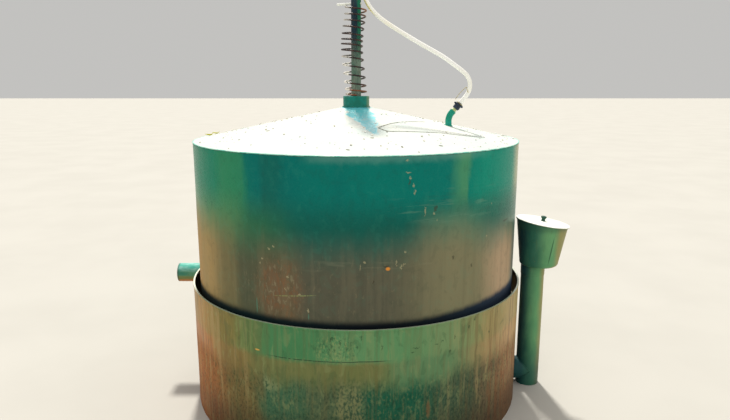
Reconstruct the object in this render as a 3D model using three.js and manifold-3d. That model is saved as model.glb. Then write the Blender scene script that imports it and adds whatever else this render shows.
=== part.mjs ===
// Floating-drum biogas digester: an open steel tank of slurry, with a steel gas holder that
// rises and sinks in it on a central guide pipe. Millimetres, +Z up.
// The origin is on the tank's axis at ground level. The viewer stands on the -Y side.

import * as THREE from 'three';
import { mergeVertices } from 'three/addons/utils/BufferGeometryUtils.js';
import Module from 'manifold-3d';

const wasm = await Module();
wasm.setup();

// Driving dimensions of the tank
const tankRadius = 728;
const tankWall = 4;
const floorThickness = 5;
const tankTop = 534;
const rimWidth = 8;
const rimHeight = 8;
const rimOverhang = 2;

// Driving dimensions of the gas holder, at rest
const drumRadius = 700;
const drumSheet = 3;
const drumTop = 1136;
const drumBottom = 226;
const coneRise = 137;
const sleeveRadius = 57;
const sleeveWall = 3.6;
const sleeveTop = 1320;
const guideHoleRadius = 30;
const guidePlate = 6;
const braceWidth = 30;
const braceHeight = 24;
const braceClearance = 2.2;

// Guide pipe, its foot and what sits at its top
const pipeRadius = 21.2;
const pipeWall = 3.2;
const pipeTop = 1800;
const footRadius = 90;
const footThickness = 8;
const socketRadius = 30;
const socketHeight = 45;
const capHeight = 9;
const capLip = 1.5;
const pinRadius = 5;
const pinHeight = 1705;
const pinLength = 112;
const pinOverhang = 4;
const pinAngle = 160;

// Coil spring round the guide pipe: where each turn crosses the front
const wireRadius = 3.5;
const coilRadius = 44.5;
const coilBow = 18;
const strokeHeights = [1324, 1344, 1372, 1408, 1445, 1481, 1510, 1536, 1556, 1578, 1608, 1634, 1659, 1683];
const lastStretch = 13.4;
const lastTurnShare = 0.306;

// Pipes through the tank wall, both level and along X
const outletRadius = 45;
const outletWall = 4;
const outletY = 190;
const outletZ = 458;
const outletEnd = -880;
const pipeInnerReach = 12;
const holeFrom = 620;
const holeTo = 800;
const inletRadius = 51;
const inletWall = 4;
const inletX = 800;
const inletY = -50;
const inletZ = 70;

// Feed hopper on the inlet pipe, and its lid
const hopperBase = 570;
const hopperBaseX = 824;
const hopperBaseRadius = 85;
const hopperMouthX = 834;
const hopperMouthZ = 767;
const hopperMouthRadius = 114.5;
const hopperSheet = 3;
const hopperRound = 16;
const mouthTilt = THREE.MathUtils.degToRad(9);
const lidRadius = 118;
const lidThickness = 3;
const knobRadius = 13;
const knobHeight = 24;
const knobNeck = 7.8;
const knobTop = 10.4;

// Gas outlet on the cone, in the plane y = outletPlaneY
const outletPlaneY = -110;
const gasPipeRadius = 13.5;
const gasPipeRoute = [[393, 1186], [391.5, 1208], [392, 1227], [399, 1246], [411, 1260.5]];
const nippleRadius = 10;
const nippleLength = 11;
const clampRadius = 15;
const clampLength = 30;

// Gas hose: a route chosen by hand, from the clamp up to the fitting beside the guide pipe
const hoseRadius = 9;
const hoseRoute = [
  [437.7, -110, 1292.8], [450.5, -110, 1308.2], [463.2, -110, 1323.8], [473.8, -110, 1343.3],
  [477.6, -110, 1365.9], [473, -108.2, 1390.4], [459.4, -105, 1411.4], [441, -99.1, 1427.8],
  [410.5, -91.9, 1451.2], [368.9, -81, 1481.2], [328.3, -71.9, 1505.5], [285.4, -62.8, 1529.4],
  [245.9, -53.8, 1552.6], [206.9, -44.7, 1576], [168.6, -35.6, 1599.7], [133.7, -26.6, 1622.6],
  [102, -17.5, 1646.2], [74.5, -10.3, 1672.5], [52.5, -4.8, 1701.5], [39.5, -3, 1728.5],
  [34.1, -2.8, 1752], [33.6, -2.8, 1770], [33.6, -2.8, 1785],
];
const hoseSteps = 34;
const fittingLength = 38;
const tieHeight = 1765;
const tieWire = 4;
const tieClearance = 0.8;
const tieSides = 12;

// Running gap between pieces that touch, and the facets of the round shapes
const gap = 0.3;
const aroundTank = 64;
const aroundDrum = 60;
const aroundPipe = 24;

function steel(color, roughness = 0.55, metalness = 0.3) {
  return new THREE.MeshStandardMaterial({ color, roughness, metalness });
}

const paints = {
  drum: steel(0x0f6f62),
  cone: steel(0xbfd8cf, 0.75, 0.1),
  tank: steel(0x5c8458),
  outlet: steel(0x2f7d6c),
  inlet: steel(0x3f6f4b),
  collar: steel(0x14806f),
  pipe: steel(0x1b5a52),
  rust: steel(0x4a2a1c, 0.85, 0.4),
  lid: steel(0xdfe6da, 0.7, 0.1),
  hose: steel(0xe6dfc0, 0.6, 0),
  clamp: steel(0x17323f, 0.5, 0.2),
  nipple: steel(0xd8e2b8, 0.5, 0),
};

// Joins equal corners, and drops the triangles that have shrunk to a line at a pole
function weld(geometry) {
  geometry.deleteAttribute('normal');
  geometry.deleteAttribute('uv');
  const merged = mergeVertices(geometry, 1e-4);
  const corners = merged.getIndex().array;
  const kept = [];
  for (let i = 0; i < corners.length; i += 3) {
    const [a, b, c] = corners.subarray(i, i + 3);
    if (a !== b && b !== c && c !== a) kept.push(a, b, c);
  }
  merged.setIndex(kept);
  return merged;
}

function toSolid(geometry) {
  const merged = weld(geometry);
  return new wasm.Manifold(new wasm.Mesh({
    numProp: 3,
    vertProperties: new Float32Array(merged.getAttribute('position').array),
    triVerts: new Uint32Array(merged.getIndex().array),
  }));
}

function toGeometry(solid) {
  const mesh = solid.getMesh();
  const geometry = new THREE.BufferGeometry();
  geometry.setAttribute('position', new THREE.BufferAttribute(new Float32Array(mesh.vertProperties), 3));
  geometry.setIndex(new THREE.BufferAttribute(new Uint32Array(mesh.triVerts), 1));
  geometry.computeVertexNormals();
  return geometry;
}

// A body of revolution about Z. The outline runs anticlockwise as [radius, height] pairs.
function revolve(outline, sides) {
  const points = outline.map(([r, z]) => new THREE.Vector2(r, z));
  return new THREE.LatheGeometry(points, sides).rotateX(Math.PI / 2);
}

function disc(radius, low, high, sides) {
  return revolve([[0, low], [radius, low], [radius, high], [0, high]], sides);
}

function ring(inner, outer, low, high, sides) {
  return revolve([[inner, low], [outer, low], [outer, high], [inner, high], [inner, low]], sides);
}

// A round bar from x = from to x = to, along X
function barAlongX(radius, from, to, y, z, sides = aroundPipe) {
  return disc(radius, from, to, sides).rotateY(Math.PI / 2).translate(0, y, z);
}

// A wedge of space about Z between two angles in degrees, drawn back by half the gap on each side
function wedge(fromDegrees, toDegrees, low, high) {
  const reach = 2 * drumRadius;
  const from = THREE.MathUtils.degToRad(fromDegrees);
  const to = THREE.MathUtils.degToRad(toDegrees);
  const middle = (from + to) / 2;
  const back = gap / 2 / Math.sin((to - from) / 2);
  const tip = new THREE.Vector2(back * Math.cos(middle), back * Math.sin(middle));
  const shape = new THREE.Shape();
  shape.moveTo(tip.x, tip.y);
  for (const angle of [from, middle, to]) {
    shape.lineTo(tip.x + reach * Math.cos(angle), tip.y + reach * Math.sin(angle));
  }
  shape.closePath();
  const geometry = new THREE.ExtrudeGeometry(shape, { depth: high - low, bevelEnabled: false });
  return toSolid(geometry.translate(0, 0, low));
}

function sector(full, fromDegrees, toDegrees, low = -50, high = 2000) {
  return full.intersect(wedge(fromDegrees, toDegrees, low, high));
}

// A round section carried along a curve, closed at both ends
function rodAlong(curve, radius, sides, steps) {
  const section = new THREE.Shape();
  for (let i = 0; i < sides; i += 1) {
    const angle = (2 * Math.PI * i) / sides;
    const corner = [radius * Math.cos(angle), radius * Math.sin(angle)];
    if (i === 0) section.moveTo(...corner);
    else section.lineTo(...corner);
  }
  section.closePath();
  return weld(new THREE.ExtrudeGeometry(section, { steps, extrudePath: curve, bevelEnabled: false }));
}

function addMesh(parent, name, geometry, material) {
  const mesh = new THREE.Mesh(geometry, material);
  mesh.name = name;
  parent.add(mesh);
  return mesh;
}

function addSolid(parent, name, solid, material) {
  return addMesh(parent, name, toGeometry(solid), material);
}

// Tank: a flat floor and a wall of rolled plates, each with its strip of the rim along its top.
// A narrow plate on each side takes a pipe through its hole.
const outletWindow = [159.3, 170.3];
const inletWindow = [350, 363];

function tankShell() {
  const inner = tankRadius - tankWall;
  const outerRim = tankRadius + rimOverhang;
  const base = floorThickness + gap;
  return toSolid(revolve([
    [inner, base], [tankRadius, base], [tankRadius, tankTop - rimHeight], [outerRim, tankTop - rimHeight],
    [outerRim, tankTop], [outerRim - rimWidth, tankTop], [outerRim - rimWidth, tankTop - rimHeight],
    [inner, tankTop - rimHeight], [inner, base],
  ], aroundTank));
}

function addPlates(parent, shell, stem, from, to, count, paint) {
  const step = (to - from) / count;
  for (let i = 0; i < count; i += 1) {
    addSolid(parent, `${stem}_${i + 1}`, sector(shell, from + i * step, from + (i + 1) * step), paint);
  }
}

function addTank(parent) {
  const shell = tankShell();
  addMesh(parent, 'tank_floor', weld(disc(tankRadius, 0, floorThickness, aroundTank)), paints.tank);
  addPlates(parent, shell, 'tank_wall_back', inletWindow[1] - 360, outletWindow[0], 3, paints.tank);
  addPlates(parent, shell, 'tank_wall_front', outletWindow[1], inletWindow[0], 3, paints.tank);
  const outletHole = barAlongX(outletRadius + gap, -holeTo, -holeFrom, outletY, outletZ);
  addSolid(parent, 'outlet_plate', sector(shell, ...outletWindow).subtract(toSolid(outletHole)), paints.tank);
  const inletHole = barAlongX(inletRadius + gap, holeFrom, holeTo, inletY, inletZ);
  addSolid(parent, 'inlet_plate', sector(shell, ...inletWindow).subtract(toSolid(inletHole)), paints.tank);
}

// Slurry outlet: a pipe stub through the wall, cut inside to the wall's curve
function addOutlet(parent) {
  const pipe = ring(outletRadius - outletWall, outletRadius, outletEnd, -holeFrom, aroundPipe);
  const stub = toSolid(pipe.rotateY(Math.PI / 2).translate(0, outletY, outletZ));
  const room = toSolid(disc(tankRadius - tankWall - pipeInnerReach, 0, tankTop, aroundTank));
  addSolid(parent, 'outlet_pipe', stub.subtract(room), paints.outlet);
}

// Inlet: an upright pipe beside the tank, joined near the ground to a short branch through the wall
function addInlet(parent) {
  const innerEnd = tankRadius - tankWall - pipeInnerReach;
  const bore = inletRadius - inletWall;
  const branch = toSolid(barAlongX(inletRadius, innerEnd, inletX, inletY, inletZ));
  const branchBore = toSolid(barAlongX(bore, innerEnd - 1, inletX, inletY, inletZ));
  const room = disc(inletRadius + gap, -1, hopperBase, aroundPipe).translate(inletX, inletY, 0);
  addSolid(parent, 'inlet_branch', branch.subtract(branchBore).subtract(toSolid(room)), paints.inlet);
  const upright = toSolid(ring(bore, inletRadius, 0, hopperBase, aroundPipe).translate(inletX, inletY, 0));
  addSolid(parent, 'inlet_pipe', upright.subtract(branchBore), paints.inlet);
}

// Outline of a bucket with a rounded bottom edge, as [radius, height] pairs from the axis outwards
function bucketOutline(inset, top) {
  const slope = (hopperMouthRadius - hopperBaseRadius) / (hopperMouthZ - hopperBase);
  const low = hopperBase + gap + inset;
  const round = hopperRound - inset;
  const arc = [0, 30, 60, 90].map((degrees) => {
    const angle = THREE.MathUtils.degToRad(degrees);
    const centre = hopperBaseRadius - hopperRound;
    return [centre + round * Math.sin(angle), low + round * (1 - Math.cos(angle))];
  });
  const topRadius = hopperBaseRadius - inset + slope * (top - hopperBase - hopperRound);
  return [[0, low], ...arc, [topRadius, top], [0, top]];
}

// The bucket leans outwards as it rises, so each level is shifted along X
function leanOut(geometry) {
  const lean = (hopperMouthX - hopperBaseX) / (hopperMouthZ - hopperBase);
  const shear = new THREE.Matrix4().set(
    1, 0, lean, hopperBaseX - lean * hopperBase,
    0, 1, 0, inletY,
    0, 0, 1, 0,
    0, 0, 0, 1,
  );
  return geometry.applyMatrix4(shear);
}

function tiltedAtMouth(geometry, lift) {
  return geometry.translate(0, 0, lift).rotateY(mouthTilt).translate(hopperMouthX, inletY, hopperMouthZ);
}

function addHopper(parent) {
  const above = hopperMouthZ + 60;
  const outside = toSolid(leanOut(revolve(bucketOutline(0, above), 32)));
  const inside = toSolid(leanOut(revolve(bucketOutline(hopperSheet, above + 1), 32)));
  const overMouth = toSolid(tiltedAtMouth(new THREE.BoxGeometry(400, 400, 200), 100));
  const throat = disc(inletRadius - inletWall, hopperBase - 5, hopperBase + 40, aroundPipe);
  const drain = toSolid(throat.translate(inletX, inletY, 0));
  addSolid(parent, 'feed_hopper', outside.subtract(inside).subtract(overMouth).subtract(drain), paints.inlet);
}

function addLid(parent) {
  const plate = disc(lidRadius, 0, lidThickness, 32);
  addMesh(parent, 'hopper_lid', weld(tiltedAtMouth(plate, gap)), paints.lid);
  const low = lidThickness + 2 * gap;
  const knob = revolve([
    [0, low], [knobNeck, low], [knobNeck, low + 0.4 * knobHeight],
    [knobRadius, low + 0.6 * knobHeight], [knobTop, low + knobHeight], [0, low + knobHeight],
  ], 12);
  addMesh(parent, 'lid_knob', weld(tiltedAtMouth(knob, 0)), paints.inlet);
}

// Guide pipe: it stands in a socket on the tank's floor, and a pin through its top stops the drum
function addGuide(parent) {
  const floor = floorThickness + gap;
  const footTop = floor + footThickness;
  const foot = toSolid(disc(footRadius, floor, footTop, aroundPipe));
  const socket = ring(pipeRadius + gap, socketRadius, footTop - 1, footTop + socketHeight, aroundPipe);
  addSolid(parent, 'guide_foot', foot.add(toSolid(socket)), paints.pipe);
  const pipe = toSolid(ring(pipeRadius - pipeWall, pipeRadius, footTop + gap, pipeTop, aroundPipe));
  const angle = THREE.MathUtils.degToRad(pinAngle);
  const pinHole = barAlongX(pinRadius + gap, -2 * pipeRadius, 2 * pipeRadius, 0, 0, 10).rotateZ(angle);
  addSolid(parent, 'guide_pipe', pipe.subtract(toSolid(pinHole.translate(0, 0, pinHeight))), paints.pipe);
  const pinStart = -pipeRadius - pinOverhang;
  const pin = barAlongX(pinRadius, pinStart, pinStart + pinLength, 0, 0, 10).rotateZ(angle);
  addMesh(parent, 'stop_pin', weld(pin.translate(0, 0, pinHeight)), paints.lid);
  const capLow = pipeTop + gap;
  const cap = disc(pipeRadius + capLip, capLow, capLow + capHeight, aroundPipe);
  addMesh(parent, 'guide_cap', weld(cap), paints.pipe);
}

// Gas holder: a rolled wall open at the bottom, a shallow cone over it and a sleeve in the middle
function addDrum(parent) {
  const wallTop = drumTop - drumSheet - gap;
  const wall = ring(drumRadius - drumSheet, drumRadius, drumBottom, wallTop, aroundDrum);
  addPlates(parent, toSolid(wall), 'drum_wall', 0, 360, 6, paints.drum);
  const inner = sleeveRadius + gap;
  const low = drumTop - drumSheet;
  const cone = toSolid(revolve([
    [inner, low + coneRise], [drumRadius, low], [drumRadius, drumTop], [inner, drumTop + coneRise],
    [inner, low + coneRise],
  ], aroundDrum));
  addPlates(parent, cone, 'drum_cone', 0, 360, 6, paints.cone);
}

function addSleeve(parent) {
  const low = drumBottom + guidePlate;
  const high = sleeveTop - guidePlate - gap;
  const tube = ring(sleeveRadius - sleeveWall, sleeveRadius, low + gap, high, aroundPipe);
  addMesh(parent, 'centre_sleeve', weld(tube), paints.collar);
  const topPlate = ring(guideHoleRadius, sleeveRadius, sleeveTop - guidePlate, sleeveTop, aroundPipe);
  addMesh(parent, 'collar_plate', weld(topPlate), paints.collar);
  const footPlate = ring(guideHoleRadius, sleeveRadius, low - guidePlate, low, aroundPipe);
  addMesh(parent, 'sleeve_foot', weld(footPlate), paints.collar);
  const from = sleeveRadius + gap;
  const to = drumRadius - drumSheet - braceClearance;
  for (let i = 0; i < 4; i += 1) {
    const bar = new THREE.BoxGeometry(to - from, braceWidth, braceHeight);
    bar.translate((from + to) / 2, 0, low + braceHeight / 2);
    addMesh(parent, `drum_brace_${i + 1}`, weld(bar.rotateZ((Math.PI / 2) * i + Math.PI / 4)), paints.collar);
  }
}

// The gas outlet is a bent pipe on the cone, then a plastic nipple and a clamp that grips the hose
function inOutletPlane([x, z]) {
  return new THREE.Vector3(x, outletPlaneY, z);
}

function straightRod(from, direction, start, end, radius, sides) {
  const line = new THREE.LineCurve3(
    from.clone().addScaledVector(direction, start),
    from.clone().addScaledVector(direction, end),
  );
  return rodAlong(line, radius, sides, 1);
}

function addGasOutlet(parent) {
  const route = new THREE.CatmullRomCurve3(gasPipeRoute.map(inOutletPlane));
  const underCone = revolve([
    [0, drumBottom], [drumRadius, drumBottom], [drumRadius, drumTop + gap],
    [sleeveRadius, drumTop + coneRise + gap], [0, drumTop + coneRise + gap],
  ], aroundDrum);
  const pipe = toSolid(rodAlong(route, gasPipeRadius, 12, 8)).subtract(toSolid(underCone));
  addSolid(parent, 'gas_outlet', pipe, paints.collar);
  const end = route.getPoint(1);
  const along = route.getTangent(1);
  const clampFrom = gap + nippleLength + gap;
  const nipple = straightRod(end, along, gap, gap + nippleLength, nippleRadius, 12);
  addMesh(parent, 'hose_nipple', nipple, paints.nipple);
  const clamp = straightRod(end, along, clampFrom, clampFrom + clampLength, clampRadius, 12);
  addMesh(parent, 'hose_clamp', clamp, paints.clamp);
}

function addHose(parent) {
  const route = new THREE.CatmullRomCurve3(hoseRoute.map((point) => new THREE.Vector3(...point)));
  addMesh(parent, 'gas_hose', rodAlong(route, hoseRadius, 10, hoseSteps), paints.hose);
  const end = route.getPoint(1);
  const along = route.getTangent(1);
  const fitting = straightRod(end, along, gap, gap + fittingLength, hoseRadius + 1, 12);
  addMesh(parent, 'hose_fitting', fitting, paints.clamp);
}

// The tie is a band round the guide pipe and the hose: two arcs, joined where their tangents touch
function bandOutline(clearance) {
  const [hoseX, hoseY] = hoseRoute[hoseRoute.length - 1];
  const heading = Math.atan2(hoseY, hoseX);
  const spread = Math.acos((pipeRadius - hoseRadius) / Math.hypot(hoseX, hoseY));
  const outline = [];
  const addArc = (x, y, radius, from, to) => {
    for (let i = 0; i <= tieSides; i += 1) {
      const angle = from + ((to - from) * i) / tieSides;
      outline.push(new THREE.Vector2(x + radius * Math.cos(angle), y + radius * Math.sin(angle)));
    }
  };
  addArc(0, 0, pipeRadius + clearance, heading + spread, heading - spread + 2 * Math.PI);
  addArc(hoseX, hoseY, hoseRadius + clearance, heading - spread, heading + spread);
  return outline;
}

function addTie(parent) {
  const band = new THREE.Shape(bandOutline(tieClearance + tieWire));
  band.holes.push(new THREE.Path(bandOutline(tieClearance)));
  const geometry = new THREE.ExtrudeGeometry(band, { depth: 2 * tieWire, bevelEnabled: false });
  addMesh(parent, 'hose_tie', weld(geometry.translate(0, 0, tieHeight)), paints.rust);
}

// The spring's turns: the spline gives the height of every turn, and its middle bows to the left
class SpringLine extends THREE.Curve {
  constructor() {
    super();
    const lastTurn = strokeHeights.length - 1;
    const knots = strokeHeights.map((height, turn) => new THREE.Vector2(turn, height));
    knots.push(new THREE.Vector2(lastTurn + lastTurnShare, strokeHeights[lastTurn] + lastStretch));
    this.rise = new THREE.SplineCurve(knots);
  }

  getPoint(t, target = new THREE.Vector3()) {
    const at = this.rise.getPoint(t);
    const angle = -2 * Math.PI * at.x - Math.PI / 2;
    const share = at.x / strokeHeights.length;
    const bow = -coilBow * Math.sin(Math.PI * share) ** 2;
    return target.set(bow + coilRadius * Math.cos(angle), coilRadius * Math.sin(angle), at.y);
  }
}

function addSpring(parent) {
  const steps = 16 * strokeHeights.length;
  addMesh(parent, 'coil_spring', rodAlong(new SpringLine(), wireRadius, 5, steps), paints.rust);
}

const digester = new THREE.Group();
const tank = new THREE.Group();
const gasHolder = new THREE.Group();
digester.add(tank, gasHolder);

addTank(tank);
addOutlet(tank);
addInlet(tank);
addHopper(tank);
addLid(tank);
addGuide(tank);
addTie(tank);
addDrum(gasHolder);
addSleeve(gasHolder);
addGasOutlet(gasHolder);
addHose(tank);
addSpring(gasHolder);

export default digester;
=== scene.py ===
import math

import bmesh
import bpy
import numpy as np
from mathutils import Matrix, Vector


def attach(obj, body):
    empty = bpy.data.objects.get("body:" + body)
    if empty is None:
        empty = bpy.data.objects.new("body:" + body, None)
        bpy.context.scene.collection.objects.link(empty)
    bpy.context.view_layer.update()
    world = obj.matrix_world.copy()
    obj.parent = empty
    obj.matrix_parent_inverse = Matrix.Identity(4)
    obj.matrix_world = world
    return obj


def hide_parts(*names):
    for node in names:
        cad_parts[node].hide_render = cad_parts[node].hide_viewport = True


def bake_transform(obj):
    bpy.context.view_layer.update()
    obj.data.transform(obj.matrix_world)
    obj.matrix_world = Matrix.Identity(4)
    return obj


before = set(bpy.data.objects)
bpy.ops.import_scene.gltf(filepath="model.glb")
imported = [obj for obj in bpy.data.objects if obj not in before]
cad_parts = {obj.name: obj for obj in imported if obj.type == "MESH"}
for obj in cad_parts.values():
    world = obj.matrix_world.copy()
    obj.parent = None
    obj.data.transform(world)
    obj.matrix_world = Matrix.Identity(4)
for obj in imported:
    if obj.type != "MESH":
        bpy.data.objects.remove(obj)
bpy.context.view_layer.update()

# %% [markdown]
# A floating-drum biogas digester, dressed for a picture. An open steel tank holds slurry. A steel
# gas holder floats in it and slides on a guide pipe in the middle. A feed hopper stands on the right,
# a slurry outlet on the left, and a hose leads the gas from the cone up to the guide pipe.
# The three lines above brought in the solid model as a fixed frame, in metres, +Z up. The viewer
# stands on the -Y side. Each cell below makes one piece or one finish.

# %% [markdown]
# The photograph was taken by hand from about 1.4 m above the ground and 2.7 m in front of the guide
# pipe, looking slightly down. The camera is placed first, so that every piece can be held against
# the photograph as it is made.

# %% Camera
CAMERA_PLACE = (0.0384, -2.7266, 1.3692)
CAMERA_TILT = 78.43
CAMERA_LENS = 30.235
SENSOR_WIDTH = 36
FRAME_WIDTH, FRAME_HEIGHT = 730, 420

camera_data = bpy.data.cameras.new("camera")
camera_data.lens = CAMERA_LENS
camera_data.sensor_width = SENSOR_WIDTH
camera_data.clip_end = 200
camera = bpy.data.objects.new("camera", camera_data)
camera.location = CAMERA_PLACE
camera.rotation_euler = (math.radians(CAMERA_TILT), 0, 0)
bpy.context.scene.collection.objects.link(camera)
bpy.context.scene.camera = camera
print("camera at", CAMERA_PLACE, "tilted", CAMERA_TILT, "degrees")

# %% [markdown]
# A surface is a grid of points, worked out as whole arrays, and quads between its neighbours.
# Nearly every part here is round, so two makers do most of the work: an outline turned about an
# axis, and a round section carried along a path. Both come out as closed solids, and a signed
# volume says whether the faces look outwards.

# %% Grids of points
def grid_faces(rows, columns, rows_join, columns_join):
    """Quads (i, j), (i, j+1), (i+1, j+1), (i+1, j). Where a side joins, its last line meets its first."""
    i = np.arange(rows if rows_join else rows - 1)[:, None]
    j = np.arange(columns if columns_join else columns - 1)[None, :]
    below, beside = (i + 1) % rows, (j + 1) % columns
    corners = (i * columns + j, i * columns + beside, below * columns + beside, below * columns + j)
    return np.stack(np.broadcast_arrays(*corners), -1).reshape(-1, 4)


def facing_out(points, faces):
    """Turns the faces over if the volume inside, a sixth of the sum of a . (b x c), is negative."""
    a, b, c, d = (points[faces[:, k]] for k in range(4))
    volume = (a * (np.cross(b, c) + np.cross(c, d))).sum() / 6
    return points, faces if volume > 0 else faces[:, ::-1]


def together(*solids):
    """Several solids as one: the points follow on, and each solid's faces count from its own start."""
    starts = np.cumsum([0] + [len(points) for points, _ in solids[:-1]])
    points = np.vstack([points for points, _ in solids])
    return points, np.vstack([faces + start for (_, faces), start in zip(solids, starts)])


# %% Turned solids
def rounded(outline, radius, closed=True, steps=4):
    """Each corner p gives way to the curve (1-t)^2 a + 2t(1-t) p + t^2 b, which starts at a and
    ends at b, a short way before and after the corner. An open outline keeps its two ends."""
    p = np.asarray(outline, float)
    before, after = np.roll(p, 1, 0) - p, np.roll(p, -1, 0) - p
    long_before = np.linalg.norm(before, axis=1, keepdims=True)
    long_after = np.linalg.norm(after, axis=1, keepdims=True)
    reach = np.minimum(radius, 0.45 * np.minimum(long_before, long_after))
    if not closed:
        reach[[0, -1]] = 0
    a = (p + before / long_before * reach)[:, None]
    b = (p + after / long_after * reach)[:, None]
    t = np.linspace(0, 1, steps)[None, :, None]
    curve = (1 - t) ** 2 * a + 2 * t * (1 - t) * p[:, None] + t**2 * b
    curve = curve.reshape(-1, 2)
    return curve if closed else curve[steps - 1:len(curve) - steps + 1]


def finer(outline, spacing):
    """Points are added along each line of a closed outline, so that none is longer than the spacing."""
    p = np.asarray(outline, float)
    following = np.roll(p, -1, 0)
    counts = np.maximum(1, np.ceil(np.linalg.norm(following - p, axis=1) / spacing)).astype(int)
    owner = np.repeat(np.arange(len(p)), counts)
    share = (np.arange(len(owner)) - np.repeat(np.cumsum(counts) - counts, counts)) / counts[owner]
    return p[owner] + (following - p)[owner] * share[:, None]


def turned(outline, sides, closed=True, push=None):
    """An outline of [radius, height] about Z: (r cos a, r sin a, z). push(angle, height) is added to r."""
    angle = np.linspace(0, 2 * np.pi, sides, endpoint=False)[None, :]
    r, z = outline[:, :1], outline[:, 1:]
    if push is not None:
        r = r + push(angle, z)
    points = np.stack([r * np.cos(angle), r * np.sin(angle), z + 0 * angle], -1).reshape(-1, 3)
    return facing_out(points, grid_faces(len(outline), sides, closed, True))


def turned_whole(outline, radius, sides, steps=4):
    """A solid without a hole: its outline starts and ends on the axis, and its corners are rounded."""
    return turned(rounded(outline, radius, closed=False, steps=steps), sides, closed=False)


# %% Solids along a path
X, Y, Z = np.eye(3)


def unit(v):
    return v / np.linalg.norm(v, axis=-1, keepdims=True)


def smooth(points, per_span):
    """A curve through the points: half of 2b + (c-a)t + (2a-5b+4c-d)t^2 + (3b-a-3c+d)t^3 from b to c."""
    p = np.asarray(points, float)
    p = np.vstack([2 * p[0] - p[1], p, 2 * p[-1] - p[-2]])
    a, b, c, d = (p[k:len(p) - 3 + k, None] for k in range(4))
    t = np.linspace(0, 1, per_span, endpoint=False)[None, :, None]
    spans = 0.5 * (2 * b + (c - a) * t + (2 * a - 5 * b + 4 * c - d) * t**2 + (3 * b - a - 3 * c + d) * t**3)
    return np.vstack([spans.reshape(-1, p.shape[1]), p[-2]])


def carried(path, radius, sides, across, closed=False, bulge=1.0):
    """A round section carried along a path: centre + r (u cos a + v sin a). u is square to the path
    and to the direction across, v to both. An open end closes as a dome, which bulge flattens."""
    path = np.asarray(path, float)
    radius = np.broadcast_to(radius, len(path)).astype(float)
    if closed:
        ahead = unit(np.roll(path, -1, 0) - np.roll(path, 1, 0))
    else:
        ahead = unit(np.gradient(path, axis=0))
        dome = np.radians([90, 60, 30])[:, None]
        first = path[0] - ahead[0] * radius[0] * bulge * np.sin(dome)
        last = path[-1] + ahead[-1] * radius[-1] * bulge * np.sin(dome[::-1])
        path = np.vstack([first, path, last])
        ahead = np.vstack([ahead[[0, 0, 0]], ahead, ahead[[-1, -1, -1]]])
        radius = np.concatenate([radius[0] * np.cos(dome[:, 0]), radius, radius[-1] * np.cos(dome[::-1, 0])])
    u = unit(np.cross(ahead, across))
    v = np.cross(ahead, u)
    angle = np.linspace(0, 2 * np.pi, sides, endpoint=False)[None, :, None]
    ring = u[:, None] * np.cos(angle) + v[:, None] * np.sin(angle)
    points = (path[:, None] + radius[:, None, None] * ring).reshape(-1, 3)
    return facing_out(points, grid_faces(len(path), sides, closed, True))


def set_along(solid, start, direction, across):
    """A solid turned about Z is stood on start with its Z along the direction."""
    points, faces = solid
    w = unit(np.asarray(direction, float))
    u = unit(np.cross(across, w))
    v = np.cross(w, u)
    return np.asarray(start) + points @ np.stack([u, v, w]), faces


# %% [markdown]
# Each mesh becomes a piece of the object. Points that fall together at a pole are merged, the faces
# are shaded smooth except across sharp edges, and the piece is told which body it moves with, which
# finish it takes and which solids it stands for.

# %% From arrays to pieces
def merged_mesh(name, solid, marks=None):
    """A mesh from arrays, with its marks. Points that fall together become one."""
    points, faces = solid
    mesh = bpy.data.meshes.new(name)
    mesh.from_pydata(points, [], faces)
    for mark, values in (marks or {}).items():
        mesh.attributes.new(mark, "FLOAT", "POINT").data.foreach_set("value", values.astype(np.float32))
    work = bmesh.new()
    work.from_mesh(mesh)
    bmesh.ops.remove_doubles(work, verts=work.verts, dist=1e-6)
    work.to_mesh(mesh)
    work.free()
    return mesh


def put_in_scene(name, data):
    obj = bpy.data.objects.new(name, data)
    bpy.context.scene.collection.objects.link(obj)
    return obj


def piece(name, solid, body, finish, stands_for=(), sharp=35, marks=None):
    """marks are named values, one for each point, that a finish can read."""
    mesh = merged_mesh(name, solid, marks)
    mesh.materials.append(finish)
    mesh.shade_smooth()
    mesh.set_sharp_from_angle(angle=math.radians(sharp))
    obj = put_in_scene(name, mesh)
    if body:
        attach(obj, body)
    if stands_for:
        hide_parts(*stands_for)
    print(f"{name}: {len(mesh.polygons)} faces")
    return obj


# %% [markdown]
# A finish is a network of nodes in front of one shader. Written as sums and products of sockets it
# reads like arithmetic, so one small class wraps a socket: adding or multiplying two of them adds
# the Math node. Every other node comes from its method `node`.

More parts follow.
